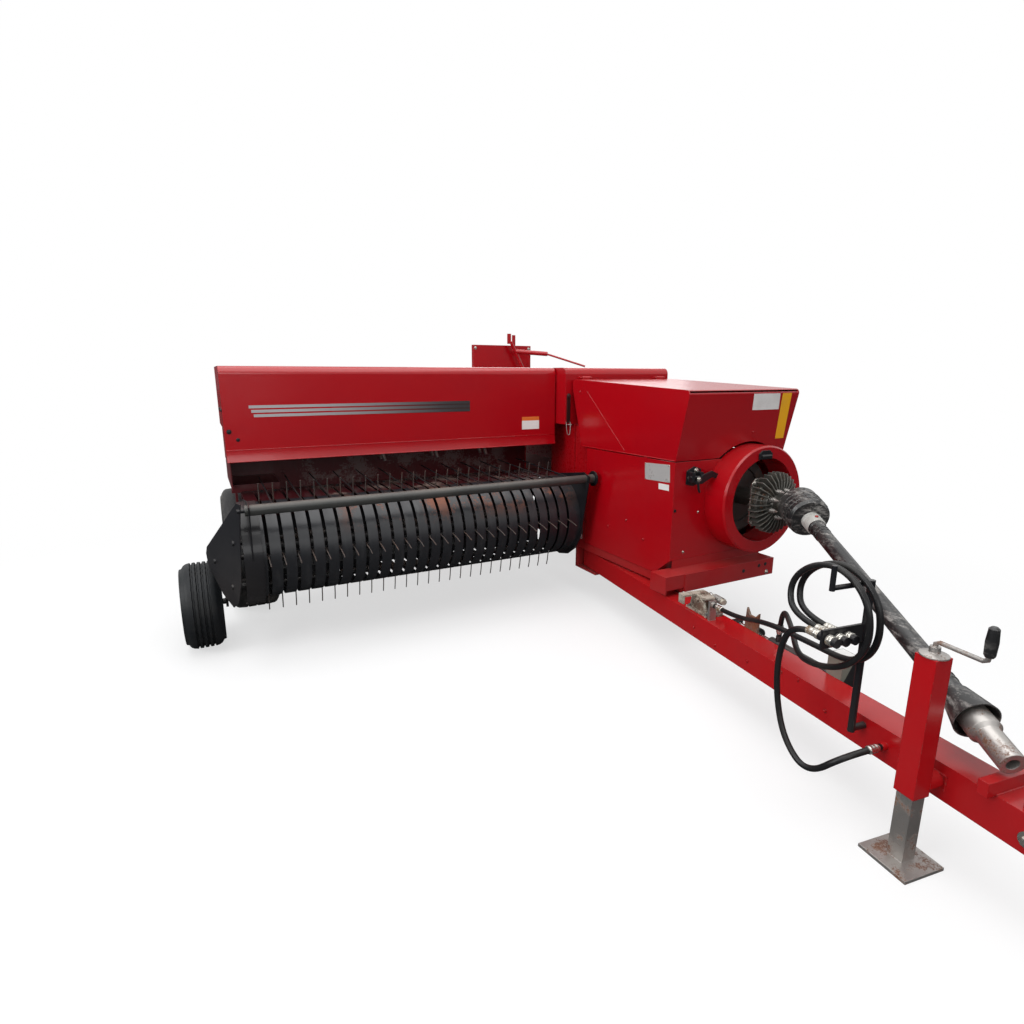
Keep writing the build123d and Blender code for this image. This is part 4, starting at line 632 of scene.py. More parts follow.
# Shields
# Folded and rolled sheet round the flywheel and over the gearbox, sprayed in gloss red.
# A black latch holds shield and hoop together; plates and labels are blank.
red = sprayed("red_enamel", (0.4, 0.0014, 0.0058), (0.34, 0.0028, 0.0085), dust=0.1, rough=0.21, coat=0.12,
              chips=0.3)
for node in ("front_shield", "shield_hoop", "hood"):
    dressed(node, red)

SHIELD_SIDES = ((-270, RIGHT), (490, LEFT))
shield_screws = [(spot(x, y, z), out) for x, out in SHIELD_SIDES
                 for y, z in ((-1085, 515), (-1398, 513), (-1247, 586))]
screws("shield_screws", shield_screws, 0.009, red, "frame", 7)
SHIELD_FRONT = -1610
front_screws = [(spot(x, SHIELD_FRONT, z), AHEAD)
                for x, z in ((-183, 485), (-43, 686), (-98, 687), (455, 485), (455, 800))]
screws("shield_front_screws", front_screws, 0.008, plated, "frame", 7)
HOOD_FACE = Vector((0, -0.9787, -0.2048))
hood_screws = [(spot(218.7, -1636.6, 1082.9), HOOD_FACE)]
hood_screws += [(spot(x, -760, 1270), out) for x, out in SHIELD_SIDES]
screws("hood_screws", hood_screws, 0.008, red, "hood", 9)

# Pressed crease down each side of the hood, and its folded lower hems
work = bmesh.new()
for x in (-269.2, 489.2):
    swept(work, [spot(x, -834, 1275), spot(x, -1206, 969)], 0.0022, 8)
for x in (-269.5, 489.5):
    swept(work, [spot(x, -1606, 958.5), spot(x, -795, 951)], 0.0028, 8)
piece_from("hood_hems", work, red, "hood")

# Blank label and yellow strip on the hood's front, each a thin film
film_white = moulded("white_film", (0.84, 0.84, 0.82), (0.35, 0.3, 0.26), rough=0.35, grain_depth=0.00004,
                     dust_share=0.35)
film_yellow = moulded("yellow_film", (0.95, 0.46, 0.006), (0.35, 0.26, 0.12), rough=0.35, grain_depth=0.00004,
                      dust_share=0.3)


def upright(y, *places):
    """Points at (x, z) places in millimetres, all at one y."""
    return [spot(x, y, z) for x, z in places]


def film(name, corners, outward, finish, body):
    """A printed film 0.6 mm proud of the sheet that it is stuck to."""
    sunk, thick = 0.0002, 0.0008
    work = bmesh.new()
    slab(work, [corner - outward * sunk for corner in corners], outward * thick)
    return piece_from(name, work, finish, body, 20)


film("hood_label", [spot(156.5, -1678, 1279), spot(346.4, -1678, 1279), spot(364.5, -1660.5, 1196.8),
                    spot(171.5, -1660.5, 1196.8)], HOOD_FACE, film_white, "hood")
film("hood_strip", [spot(364.9, -1677.8, 1279.8), spot(433.5, -1677.8, 1279.8), spot(462.5, -1627.6, 1040),
                    spot(399, -1627.6, 1040)], HOOD_FACE, film_yellow, "hood")

# Plain aluminium plate with four rivets, and a small white one under it
brushed = worn_steel("brushed_plate", (0.58, 0.58, 0.57), (0.3, 0.27, 0.24), 0.15, rough=0.42, metal=0.45)
film("shield_plate", [spot(-270, y, z) for y, z in ((-1383.5, 924), (-1572.5, 936), (-1580, 847), (-1390, 838))],
     RIGHT, brushed, "frame")
film("small_plate", [spot(-270, y, z) for y, z in ((-1497, 833), (-1574, 835.5), (-1576, 805), (-1499, 803))],
     RIGHT, film_white, "frame")
work = bmesh.new()
for y, z in ((-1390, 919), (-1566, 930), (-1573, 852), (-1396, 843)):
    turned(work, spot(-270.4, y, z), RIGHT, ((0, 0.004), (0.0012, 0.0034), (0.002, 0.0015)), 12)
piece_from("plate_rivets", work, plated, "frame")

# Black spring latch between the shield's front and the hoop
work = bmesh.new()
slab(work, upright(SHIELD_FRONT, (-196, 838), (-150, 826), (-104, 846), (-104, 912), (-150, 926), (-196, 905)),
     AHEAD * 0.006)
for x in (-186, -132):
    slab(work, upright(-1616, (x, 850), (x + 18, 850), (x + 18, 900), (x, 900)), AHEAD * 0.03)
swept(work, [spot(-194, -1634, 874), spot(-106, -1634, 874)], 0.008, 14)
slab(work, upright(-1640, (-166, 858), (-134, 858), (-128, 884), (-60, 902), (-13, 880), (-13, 858), (-62, 870),
                   (-124, 842), (-166, 842)), AHEAD * 0.012)
swept(work, [spot(-150, -1650, 852), spot(-148, -1652, 815), spot(-138, -1650, 800)], 0.006, 10)
piece_from("shield_latch", work, black, "frame", 30)
latch_screws = [(spot(*place), AHEAD) for place in ((-175, -1616, 869), (-136, -1616, 905), (-150, -1652, 866))]
screws("latch_screws", latch_screws, 0.014, plated, "frame", 2)

# Catch on the hoop's top, and black discs on the shield and cross-beam: painted shade standing in for open holes
work = bmesh.new()
slab(work, upright(-1740, (154, 956), (246, 956), (246, 984), (226, 1000), (174, 1000), (154, 984)), AHEAD * 0.008)
swept(work, [spot(166, -1750, 972), spot(234, -1750, 972)], 0.007, 12)
piece_from("hoop_catch", work, black, "frame", 30)
# Black discs over the holes in shield and cross-beam: painted shade for the holes' dark insides
work = bmesh.new()
turned(work, spot(-254, -1610.2, 708), AHEAD, ((0, 0.0085), (0.0006, 0.0085), (0.0008, 0.006)), 20)
for x, z in ((155, 361), (270, 374), (317, 376)):
    turned(work, spot(x, -1710.2, z), AHEAD, ((0, 0.01), (0.0006, 0.01), (0.0008, 0.008)), 20)
piece_from("painted_hole_shade", work, black, "frame")
screws("beam_screws", [(spot(330, -1710, 331), AHEAD)], 0.013, plated, "frame", 4)

# Shelf of the cross-beam that the shield's front edge stands on
work = bmesh.new()
slab(work, [spot(x, y, 398) for x, y in ((-249, -1697), (379, -1697), (379, -1604), (-249, -1604))], UP * 0.006)
slab(work, upright(-1604, (-249, 404), (379, 404), (379, 452), (-249, 452)), AHEAD * 0.0055)
piece_from("beam_shelf", work, dusty_red, "frame", 30)


# Driveline
# Cast flywheel and slip clutch with ground fins; eight bright springs press its linings.
# The shaft turns inside a scuffed black plastic guard with a grey collar.
cast = worn_steel("dark_casting", (0.11, 0.105, 0.1), (0.1, 0.06, 0.045), 0.4, rough=0.48, metal=0.7)
rusty = worn_steel("rusty_steel", (0.24, 0.2, 0.17), (0.19, 0.075, 0.035), 0.95, rough=0.5)


def scuffed(name, colour, scrape):
    """Plastic that has been dragged about: pale scrapes round it and dull dust between."""
    f = Finish(name)
    edge, rounded = f.edges(0.003)
    cloud = f.noise(6, 4)
    scratch = f.noise(26, 5, 0.7, (1.0, 0.45, 2.2))
    fine = f.noise(150, 3, 0.65)
    scraped = (scratch + (fine - 0.5) * 0.25).step(0.47, 0.68) * cloud.step(0.36, 0.58) * 0.8
    scraped = scraped.most(edge * fine.step(0.45, 0.6) * 0.8)
    colour_now = f.blend(cloud.step(0.4, 0.8) * 0.3, colour, tuple(0.35 * c for c in scrape))
    colour_now = f.blend(scraped, colour_now, scrape)
    return f.principled(Base_Color=colour_now, Roughness=0.3 + scraped * 0.35,
                        Normal=f.bump(fine + scratch, 0.0003, rounded))


plastic = scuffed("black_plastic", (0.012, 0.012, 0.013), (0.34, 0.32, 0.3))
grey_plastic = moulded("grey_plastic", (0.56, 0.56, 0.53), (0.14, 0.12, 0.1), rough=0.42, grain_depth=0.0001,
                       dust_share=0.8)
clutch_metal = worn_steel("clutch_casting", (0.16, 0.155, 0.14), (0.07, 0.055, 0.04), 0.35, rough=0.4, metal=0.75)
for node, finish in (("gearbox", cast), ("flywheel", cast), ("slip_clutch", clutch_metal), ("pto_guard", plastic),
                     ("pto_drive", steel)):
    dressed(node, finish)
SHAFT_X, SHAFT_Z = 220, 742
CLUTCH = spot(SHAFT_X, -1795, SHAFT_Z)


def from_shaft(a):
    """Unit vector square to the driveline's axis, at an angle round it."""
    return Vector((cos(a), 0, sin(a)))


work = bmesh.new()
springs = bmesh.new()
for n in range(8):
    a = radians(45 * n + 22.5)
    seat = CLUTCH + from_shaft(a) * 0.07 + AHEAD * 0.04
    turned(work, seat, AHEAD, ((0, 0.012), (0.002, 0.012), (0.003, 0.0075), (0.026, 0.0075), (0.027, 0.0105)), 16)
    turned(work, seat + AHEAD * 0.0265, AHEAD, ((0, 0.009), (0.008, 0.009)), 6)
    turned(work, seat + AHEAD * 0.0345, AHEAD, ((0, 0.0042), (0.01, 0.0042), (0.011, 0.0034)), 10)
    swept(springs, coil_path(seat + AHEAD * 0.004, AHEAD, 0.021, 0.01, 4.5, 10), 0.0018, 6)
for n in range(4):
    a = radians(45 + 90 * n)
    turned(work, CLUTCH + from_shaft(a) * 0.142 - AHEAD * 0.03, AHEAD, ((0, 0.0095), (0.007, 0.0095)), 6)
piece_from("clutch_bolts", work, steel, "flywheel", 30)
piece_from("clutch_springs", springs, steel, "flywheel")

# Cooling fins of the clutch's cover, its square plate with cut corners, and its two linings
work = bmesh.new()
FINS, FIN_THICK = 32, 0.0048
FIN = ((0.062, 0.03), (0.062, 0.05), (0.118, 0.044), (0.156, 0.026), (0.156, -0.018), (0.1, -0.022),
       (0.1, 0.03))
for n in range(FINS):
    a = tau * n / FINS
    across = Vector((-sin(a), 0, cos(a)))
    slab(work, [CLUTCH + from_shaft(a) * radius + AHEAD * ahead - across * (FIN_THICK / 2) for radius, ahead in FIN],
         across * FIN_THICK)
turned(work, CLUTCH + AHEAD * 0.033, AHEAD,
       ((0, 0.089), (0.003, 0.086), (0.004, 0.06), (0.016, 0.056), (0.018, 0.04)), 48)
piece_from("clutch_blades", work, clutch_metal, "flywheel", 30)
work = bmesh.new()
plate = [CLUTCH - AHEAD * 0.03 + Vector((x, 0, z)) / 1000 for x, z in
         ((-122, -98), (-98, -122), (98, -122), (122, -98), (122, 98), (98, 122), (-98, 122), (-122, 98))]
slab(work, plate, AHEAD * -0.009)
piece_from("clutch_plate", work, plated, "flywheel", 30)
work = bmesh.new()
for shift in (-0.024, 0.009):
    turned(work, CLUTCH + AHEAD * shift, AHEAD, ((0, 0.099), (0.0005, 0.1015), (0.0045, 0.1015), (0.005, 0.099)), 64)
piece_from("clutch_linings", work, rusty, "flywheel")

# Moulded ribs and rings of the shaft's guard, along the shaft's slanting way down to its rest
SHAFT_FROM = spot(SHAFT_X, -1960, SHAFT_Z)
REST_Z, SHAFT_LENGTH = 381.66, 1500
SWING, DROP_SINE = radians(31), (SHAFT_Z - REST_Z) / SHAFT_LENGTH
FLAT = (1 - DROP_SINE ** 2) ** 0.5
SHAFT_WAY = Vector((-sin(SWING) * FLAT, -cos(SWING) * FLAT, -DROP_SINE))
work = bmesh.new()
for at in (0.004, 0.034, 0.064):
    turned(work, SHAFT_FROM + SHAFT_WAY * at, SHAFT_WAY,
           ((0, 0.0938), (0.002, 0.0962), (0.008, 0.0962), (0.01, 0.0938)), 48)
for at in (0.24, 0.262, 1.18, 1.2):
    turned(work, SHAFT_FROM + SHAFT_WAY * at, SHAFT_WAY,
           ((0, 0.0325), (0.001, 0.0352), (0.007, 0.0352), (0.008, 0.0325)), 32)
for out in spokes(SHAFT_WAY, 12, 12):
    swept(work, [SHAFT_FROM + SHAFT_WAY * at + out * 0.0935 for at in (0.014, 0.094)], 0.0028, 6)
piece_from("guard_ribs", work, plastic, "pto_guard", 30)
work = bmesh.new()
turned(work, SHAFT_FROM + SHAFT_WAY * 0.122, SHAFT_WAY,
       ((0, 0.0385), (0.001, 0.042), (0.02, 0.042), (0.022, 0.04), (0.03, 0.04), (0.032, 0.042),
        (0.066, 0.042), (0.074, 0.0385)), 40)
piece_from("guard_collar", work, grey_plastic, "pto_guard")
red_plastic = moulded("red_plastic", (0.33, 0.01, 0.008), (0.2, 0.12, 0.09), rough=0.4, grain_depth=0.0001,
                      dust_share=0.4)
work = bmesh.new()
out = (UP - SHAFT_WAY * UP.dot(SHAFT_WAY)).normalized()
turned(work, SHAFT_FROM + SHAFT_WAY * 0.17 + out * 0.041, out, ((0, 0.0075), (0.005, 0.0075), (0.006, 0.0055)), 16)
piece_from("collar_plug", work, red_plastic, "pto_guard")


# Tongue
# Square tube with a jack, a spring latch and a small cylinder. The bright red enamel is
# rubbed along its edges; the latch has rusted where its spring works.
def recoloured(piece, finish, chosen):
    """Gives the faces that chosen(centre) picks another finish."""
    piece.data.materials.append(finish)
    for face in piece.data.polygons:
        if chosen(face.center):
            face.material_index = len(piece.data.materials) - 1


def tongue_place(point):
    """Along, side and height in millimetres of a point on the folded tongue."""
    away = point - on_tongue(0, 0, 0)
    return away.dot(TONGUE_AHEAD) * 1000, away.dot(TONGUE_LEFT) * 1000, point.z * 1000


def arm_of_stand(point):
    along, side, z = tongue_place(point)
    return 1930 < along < 2005 and (side < -62 or z > 305)


ALL = (-9999, 9999)


def on_reach(along=ALL, side=ALL, z=ALL):
    """A test for faces that lie between these limits on the tongue."""
    return lambda point: all(low < at < high for at, (low, high) in zip(tongue_place(point), (along, side, z)))


tongue_red = sprayed("tongue_red_enamel", (0.44, 0.0016, 0.005), (0.37, 0.004, 0.008), dust=0.06, rough=0.2,
                     coat=0.1, shine=0.35, chips=0.9)
chrome = worn_steel("chrome_rod", (0.7, 0.7, 0.7), (0.25, 0.2, 0.15), 0.05, rough=0.12, metal=1.0)
grey_green = sprayed("grey_green_enamel", (0.19, 0.21, 0.17), (0.26, 0.27, 0.23), dust=0.6, chips=0.8, rough=0.45,
                     coat=0.1)
tongue = dressed("tongue", tongue_red)
recoloured(tongue, black, arm_of_stand)
recoloured(tongue, steel, on_reach(along=(-9999, 1200), z=(305, 9999)))
dressed("hitch_clevis", rusty)
dressed("jack_tube", tongue_red)
dressed("jack_leg", steel)
weathered = worn_steel("weathered_zinc", (0.52, 0.48, 0.4), (0.14, 0.075, 0.05), 0.6, rough=0.5, metal=0.35)
dressed("tongue_latch", weathered)
cylinder = dressed("latch_cylinder", black)
recoloured(cylinder, chrome, on_reach((1192, 1379), (79, 104), (268, 292)))
recoloured(cylinder, rusty, on_reach(along=(1240, 1335), side=(-9999, 72)))
recoloured(cylinder, grey_green, on_reach(along=(1690, 9999), z=(303, 9999)))

# Pale film on the bracket's top, then the tongue's screws
work = bmesh.new()
slab(work, [on_tongue(along, side, 385.3) for along, side in ((1696, 64), (1752, 64), (1752, 124), (1696, 124))],
     UP * 0.0008)
piece_from("bracket_top_film", work, film_white, "tongue")

tongue_screws = [(on_tongue(along, -60, z), -TONGUE_LEFT)
                 for along, z in ((1065, 237), (1219, 216), (1420, 236), (1601, 277), (1682, 286), (1812, 235))]
tongue_screws += [(on_tongue(along, 60, z), TONGUE_LEFT) for along, z in ((1065, 237), (1601, 277), (2200, 245))]
screws("tongue_screws", tongue_screws, 0.008, tongue_red, "tongue", 6)
latch_screws = [(on_tongue(along, side, 312), UP) for along in (990, 1116) for side in (-36, 14, 38)]
screws("latch_base_screws", latch_screws, 0.013, dull, "tongue", 6)
nose = [(on_tongue(along, side, 232), side / abs(side) * TONGUE_LEFT) for along in (2440, 2560) for side in (-60, 60)]
screws("nose_bolts", nose, 0.024, plated, "tongue", 8)

# Latch spring round its pin, its pull ring, and the weld beads of the brackets
work = bmesh.new()
swept(work, coil_path(on_tongue(1042, 58, 360), TONGUE_AHEAD, 0.062, 0.0155, 8.5), 0.0022, 6)
pull_ring = [on_tongue(1020, 58, 360) + Vector((0, cos(tau * n / 18), sin(tau * n / 18))) * 0.014 for n in range(18)]
swept(work, pull_ring, 0.002, 6)
piece_from("latch_spring", work, steel, "tongue")
SCALE_LENGTH, BEAD_SIDES = 0.004, 7


def weld(work, *places):
    """A weld bead laid in short overlapping scales past (along, side, z) places on the tongue."""
    path = [on_tongue(*place) for place in places]
    for start, end in zip(path, path[1:]):
        count = max(3, int((end - start).length / SCALE_LENGTH))
        points = [start.lerp(end, n / count) for n in range(count + 1)]
        first = len(work.verts)
        swept(work, points, 0.003, BEAD_SIDES)
        work.verts.ensure_lookup_table()
        for n, point in enumerate(points):
            start_vert = first + BEAD_SIDES * n
            for vert in work.verts[start_vert:start_vert + BEAD_SIDES]:
                vert.co = point + (vert.co - point) * (1.0 + 0.22 * (-1) ** n)


work = bmesh.new()
for side in (-49, 49):
    weld(work, (975, side * 0.94, 300.5), (1125, side * 0.94, 300.5))
weld(work, (975, -46, 300.5), (975, 46, 300.5))
for along in (1692, 1756):
    weld(work, (along, 60.5, 262), (along, 60.5, 298))
weld(work, (2170, -60.5, 222), (2170, -60.5, 268), (2230, -60.5, 268), (2230, -60.5, 222))
for along in (2326, 2354):
    weld(work, (along, -60, 300.5), (along, 60, 300.5))
for side in (-52, 52):
    weld(work, (2558.5, side, 300), (2558.5, side, 200))
piece_from("tongue_welds", work, tongue_red, "tongue")

# Jack's crank on top of its tube, with a turning grip
JACK_TOP = on_tongue(2200, -150, 640)


def off_jack(up, ahead):
    return JACK_TOP + UP * up + TONGUE_AHEAD * ahead


work = bmesh.new()
turned(work, JACK_TOP, UP, ((0, 0.036), (0.004, 0.036), (0.006, 0.03), (0.01, 0.014), (0.026, 0.013)), 28)
swept(work, [off_jack(0.018, 0), off_jack(0.034, 0), off_jack(0.04, 0.01), off_jack(0.04, 0.118),
             off_jack(0.046, 0.128), off_jack(0.06, 0.13)], 0.0065, 12)
piece_from("jack_crank", work, steel, "tongue")
work = bmesh.new()
turned(work, off_jack(0.055, 0.13), UP,
       ((0, 0.01), (0.006, 0.013), (0.04, 0.0145), (0.075, 0.012), (0.08, 0.007)), 20)
piece_from("jack_grip", work, plastic, "tongue")


# Pickup
# Spring tines on four tubes turn between sheet steel bands, with a black end sheet on each
# side. Crop has scuffed the bands' paint and left rust on their upper fronts.
def scoured(name, colour, rust_colour, rust_share, box_low, box_high):
    """Paint that crop has rubbed, worst inside a box given in metres."""
    rub_colour, rust_pits, fade = (0.085, 0.085, 0.085), (0.09, 0.035, 0.02), 0.18
    f = Finish(name)
    edge, rounded = f.edges(0.002)
    grain = f.noise(90, 3, 0.65)
    patches = f.noise(5.5, 5, 0.65)
    streaks = f.noise(30, 3, 0.6, (1.0, 0.25, 0.25))
    inside = 1
    for axis, low, high in zip("XYZ", box_low, box_high):
        place = f.part(f.place, axis)
        inside = place.step(low, low + fade) * (1 - place.step(high - fade, high)) * inside
    rust = (patches + (grain - 0.5) * 0.4).step(0.5, 0.6) * inside * rust_share
    rub = (streaks.step(0.5, 0.72) * 0.5 + edge * 0.6) * (0.35 + inside * 0.65)
    colour_now = f.blend(rub, colour, rub_colour)
    colour_now = f.blend(rust, colour_now, rust_colour)
    colour_now = f.blend(grain.step(0.52, 0.8) * rust * 0.6, colour_now, rust_pits)
    return f.principled(Base_Color=colour_now, Roughness=0.36 + rust * 0.35 + (grain - 0.5) * 0.15,
                        Metallic=rub * 0.3 * (1 - rust), Normal=f.bump(grain * (0.2 + rust), 0.0004, rounded))


band_paint = scoured("band_paint", (0.014, 0.015, 0.018), (0.3, 0.085, 0.03), 0.75, (-0.85, -0.4, 0.58),
                     (0.62, 0.02, 0.88))
strippers = dressed("pickup_strippers", band_paint)
for node in ("pickup_sides", "gauge_arm"):
    dressed(node, black)
windguard = dressed("windguard", black)

# Reel: four tubes on spiders round a shaft, each tine with a coil round its tube and one screw
REEL_Y, REEL_Z = -690, 525
REEL = spot(0, REEL_Y, REEL_Z)
FIRST_TINE, TINE_PITCH, TINES = -2094, 66, 26
TUBE_RADIUS, COIL_RADIUS = 190, 19.5
work = bmesh.new()
tines = bmesh.new()


def on_reel(x, radial, tangent, a):
    """A point in millimetres from the reel's axis, on the side that the angle gives."""
    return Vector(((x + CHAMBER_X) / 1000, REEL.y + (radial * cos(a) - tangent * sin(a)) / 1000,
                   REEL.z + (radial * sin(a) + tangent * cos(a)) / 1000))


reel_screws = []
for quarter in range(4):
    a = tau * quarter / 4
    inward = (on_reel(0, -1, 0, a) - on_reel(0, 0, 0, a)).normalized()
    swept(work, [on_reel(-2114, TUBE_RADIUS, 0, a), on_reel(-424, TUBE_RADIUS, 0, a)], 0.0155, 18)
    for x in range(FIRST_TINE, FIRST_TINE + TINE_PITCH * TINES, TINE_PITCH):
        wound = [on_reel(x - 16 + 14 * n / 22, TUBE_RADIUS + COIL_RADIUS * cos(b), COIL_RADIUS * sin(b), a)
                 for n, b in ((n, radians(-90 - 792 + 36 * n)) for n in range(23))]
        finger = [on_reel(x, radial, tangent, a) for radial, tangent in ((205, -19), (250, -13), (295, -5), (329, 5))]
        swept(tines, wound + finger, 0.003, 6)
        reel_screws.append((on_reel(x - 22, 174.5, 0, a), inward))
swept(work, [on_reel(-2194, 0, 0, 0), on_reel(-308, 0, 0, 0)], 0.0238, 24)
for n in range(4):
    x = -2074 + n * 1610 / 3
    for quarter in range(4):
        a = tau * quarter / 4
        slab(work, [on_reel(x - 5, radial, tangent, a) for radial, tangent in
                    ((15, -21), (120, -16), (178, -12), (207, -12), (207, 12), (178, 12), (120, 16), (15, 21))],
             Vector((0.01, 0, 0)))
    turned(work, on_reel(x - 17, 0, 0, 0), LEFT, ((0, 0.0255), (0.001, 0.036), (0.033, 0.036), (0.034, 0.0255)), 24)
reel = piece_from("reel_tubes", work, black, "reel", 30)
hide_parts("pickup_reel")
tine_steel = worn_steel("tine_steel", (0.16, 0.14, 0.13), (0.085, 0.048, 0.034), 0.6, rough=0.45, metal=0.8)
piece_from("spring_tines", tines, tine_steel, "reel")
screws("tine_screws", reel_screws, 0.01, tine_steel, "reel", 12)


def teeth(count, outline):
    """(radius, angle) points round a toothed wheel, from one tooth's (share of the pitch, radius) points."""
    return [(radius, tau * (n + share) / count) for n in range(count) for share, radius in outline]


work = bmesh.new()
sprocket = teeth(26, ((0.0, 92), (0.3, 94), (0.42, 103), (0.6, 103), (0.72, 94)))
slab(work, [on_reel(-326, r * cos(b), r * sin(b), 0) for r, b in sprocket], Vector((0.012, 0, 0)))
turned(work, on_reel(-332, 0, 0, 0), LEFT, ((0, 0.024), (0.001, 0.042), (0.022, 0.042), (0.023, 0.024)), 28)
piece_from("reel_sprocket", work, steel, "reel", 30)

band_screws = []
for n in range(TINES - 1):
    x = FIRST_TINE + TINE_PITCH * (n + 0.5)
    band_screws.append((spot(x, -436, 765), UP))
    band_screws.append((spot(x, -436, 285), DOWN))
for angle in (150, 190, 230, 270, 310, 20, 50, 80):
    a = radians(angle)
    band_screws.append((spot(-353.7, REEL_Y + 222 * cos(a), REEL_Z + 222 * sin(a)), LEFT))
screws("pickup_screws", band_screws, 0.011, black, "pickup", 13)

# Smooth wrap from the flared plate over the right end sheet to the first gap
work = bmesh.new()
turn = [radians(105 + 4 * n) for n in range(41)]
wrap = [(264.8 * cos(a), 264.8 * sin(a)) for a in turn] + [(267.3 * cos(a), 267.3 * sin(a)) for a in reversed(turn)]
slab(work, [spot(-2201, REEL_Y + y, REEL_Z + z) for y, z in wrap], Vector((0.083, 0, 0)))
piece_from("end_wrap", work, black, "pickup", 30)

# Windguard: its pipe dusty, four screws and a plain cap on the pipe's left end
GUARD_Y, GUARD_Z = -970, 780
guard_screws = [(spot(-300, GUARD_Y + 33 * cos(a), GUARD_Z + 33 * sin(a)), LEFT)
                for a in (tau * n / 4 + 0.6 for n in range(4))]
pipe_paint = sprayed("pipe_enamel", (0.03, 0.032, 0.03), (0.075, 0.075, 0.068), dust=0.6, chips=0.6, rough=0.42,
                     coat=0.1)
axis = spot(0, GUARD_Y, GUARD_Z)
recoloured(windguard, pipe_paint, lambda point: Vector((0, point.y - axis.y, point.z - axis.z)).length < 0.028)
screws("windguard_screws", guard_screws, 0.01, plated, "windguard", 14)
work = bmesh.new()
turned(work, spot(-300, GUARD_Y, GUARD_Z), LEFT, ((0, 0.0245), (0.002, 0.0215), (0.0025, 0.012)), 28)
piece_from("windguard_cap", work, black, "windguard")


# Feeder
# Folded sheet housing with forks that slide across it, under one long hinged cover. Inside,
# the paint is scoured to grey steel where hay drags past.
inside_paint = scoured("feeder_paint", (0.1, 0.004, 0.007), (0.36, 0.33, 0.31), 0.9, (-0.95, 0.4, 0.55),
                       (0.62, 0.75, 1.36))
dressed("feeder_house", inside_paint)
dressed("feeder_forks", steel)
dressed("feeder_cover", red)
dressed("chamber_cover", red)
work = bmesh.new()
slab(work, upright(-339.5, (-2201, 752), (-1956, 752), (-1956, 790.5), (-2201, 790.5)), BACK * 0.003)
piece_from("arch_apron", work, inside_paint, "frame", 30)

# The bands' rear tops run back under the feeder and are painted maroon like its deck, much darker than the feeder's
# own paint: painted shade under the feeder
deck_edge, deck_height = spot(0, -680, 625)[1:]
deck_paint_with_painted_shade = scoured("deck_paint_with_painted_shade", (0.04, 0.002, 0.004), (0.16, 0.12, 0.1), 0.7, (-0.95, -0.4, 0.55),
                     (0.62, 0.75, 1.36))
recoloured(strippers, deck_paint_with_painted_shade, lambda point: point.y > deck_edge and point.z > deck_height)

# Stripes and blank labels on the cover's face, which stands upright
COVER_FACE, STRIPES_END = -560, -903


def fading_film(name, first, last, low, high):
    """A printed film whose colour runs from one to another along X, in metres."""
    f = Finish(name)
    across = f.part(f.place, "X").step(low, high)
    grain = f.noise(160, 3, 0.6)
    colour_now = f.blend(grain.step(0.55, 0.8) * 0.25, f.blend(across, first, last), (0.16, 0.08, 0.07))
    return f.principled(Base_Color=colour_now, Roughness=0.3 + grain * 0.1, Coat_Weight=0.3)


silver = fading_film("silver_film", (0.42, 0.42, 0.43), (0.035, 0.035, 0.038), -1.05, 0.02)
shade = fading_film("shade_film", (0.34, 0.002, 0.006), (0.03, 0.012, 0.013), -0.75, -0.05)
film_orange = moulded("orange_film", (0.75, 0.17, 0.03), (0.3, 0.2, 0.12), rough=0.35, grain_depth=0.00004,
                      dust_share=0.3)


def on_cover(name, left, right, bottom, top, finish, outward=AHEAD):
    """An oblong film on the cover's face, its edges in millimetres."""
    corners = upright(COVER_FACE, (left, bottom), (right, bottom), (right, top), (left, top))
    film(name, corners, outward, finish, "feeder_cover")


on_cover("stripe_shade", -1690, STRIPES_END, 1163, 1224, shade, AHEAD * 0.6)
for row, z in enumerate((1209, 1187, 1165)):
    on_cover(f"stripe_{row + 1}", -2093 + 10 * row, STRIPES_END, z, z + 14, silver)
on_cover("cover_label", -557, -437, 1043, 1096, film_white)
on_cover("cover_label_top", -557, -437, 1096, 1119, film_orange)
cover_screws = [(spot(-2193, COVER_FACE, 1097), AHEAD)]
cover_screws += [(spot(-2214, y, 1200), RIGHT) for y in (-500, -330)]
screws("cover_screws", cover_screws, 0.012, black, "feeder_cover", 15)
house_screws = [(spot(x, -120, 1265), AHEAD) for x in range(-2100, -340, 220)]
house_screws += [(spot(x, -5, z), AHEAD) for x in (-1900, -1500, -1100, -700, -400) for z in (800, 1120)]
screws("house_screws", house_screws, 0.011, inside_paint, "frame", 16)
# Black disc on the cover's face: painted shade standing in for an open hole
work = bmesh.new()
turned(work, spot(-2156, -560.1, 1056), AHEAD, ((0, 0.0095), (0.0006, 0.0095), (0.0008, 0.007)), 20)
piece_from("cover_hole_painted_shade", work, black, "feeder_cover")

# Bead along the fold of the cover's lower strip, and its wired bottom edge
work = bmesh.new()
swept(work, [spot(-2213, -559.6, 1005), spot(-323, -559.6, 1005)], 0.0022, 8)
swept(work, [spot(-2213, -569.6, 947.5), spot(-323, -569.6, 947.5)], 0.003, 8)
piece_from("cover_beads", work, red, "feeder_cover")

# Rubber strap with its wire loop that holds the hood's back corner down
work = bmesh.new()
slab(work, upright(-668, (-302, 1082), (-284, 1082), (-281, 1098), (-281, 1248), (-287, 1260), (-299, 1260),
                   (-305, 1248), (-305, 1098)), AHEAD * 0.006)
turned(work, spot(-293, -674, 1244), AHEAD, ((0, 0.012), (0.006, 0.012), (0.008, 0.009)), 18)
strap_rubber = moulded("strap_rubber", (0.03, 0.006, 0.006), (0.11, 0.06, 0.05), rough=0.42,
                       grain_depth=0.0001, dust_share=0.5)
piece_from("hood_strap", work, strap_rubber, "frame", 30)
work = bmesh.new()
swept(work, [spot(-308, -672, 1088), spot(-306, -676, 1040), spot(-300, -677, 1012), spot(-292, -677, 1008),
             spot(-284, -677, 1012), spot(-280, -676, 1040), spot(-279, -672, 1088)], 0.0024, 8)
piece_from("strap_loop", work, steel, "frame")


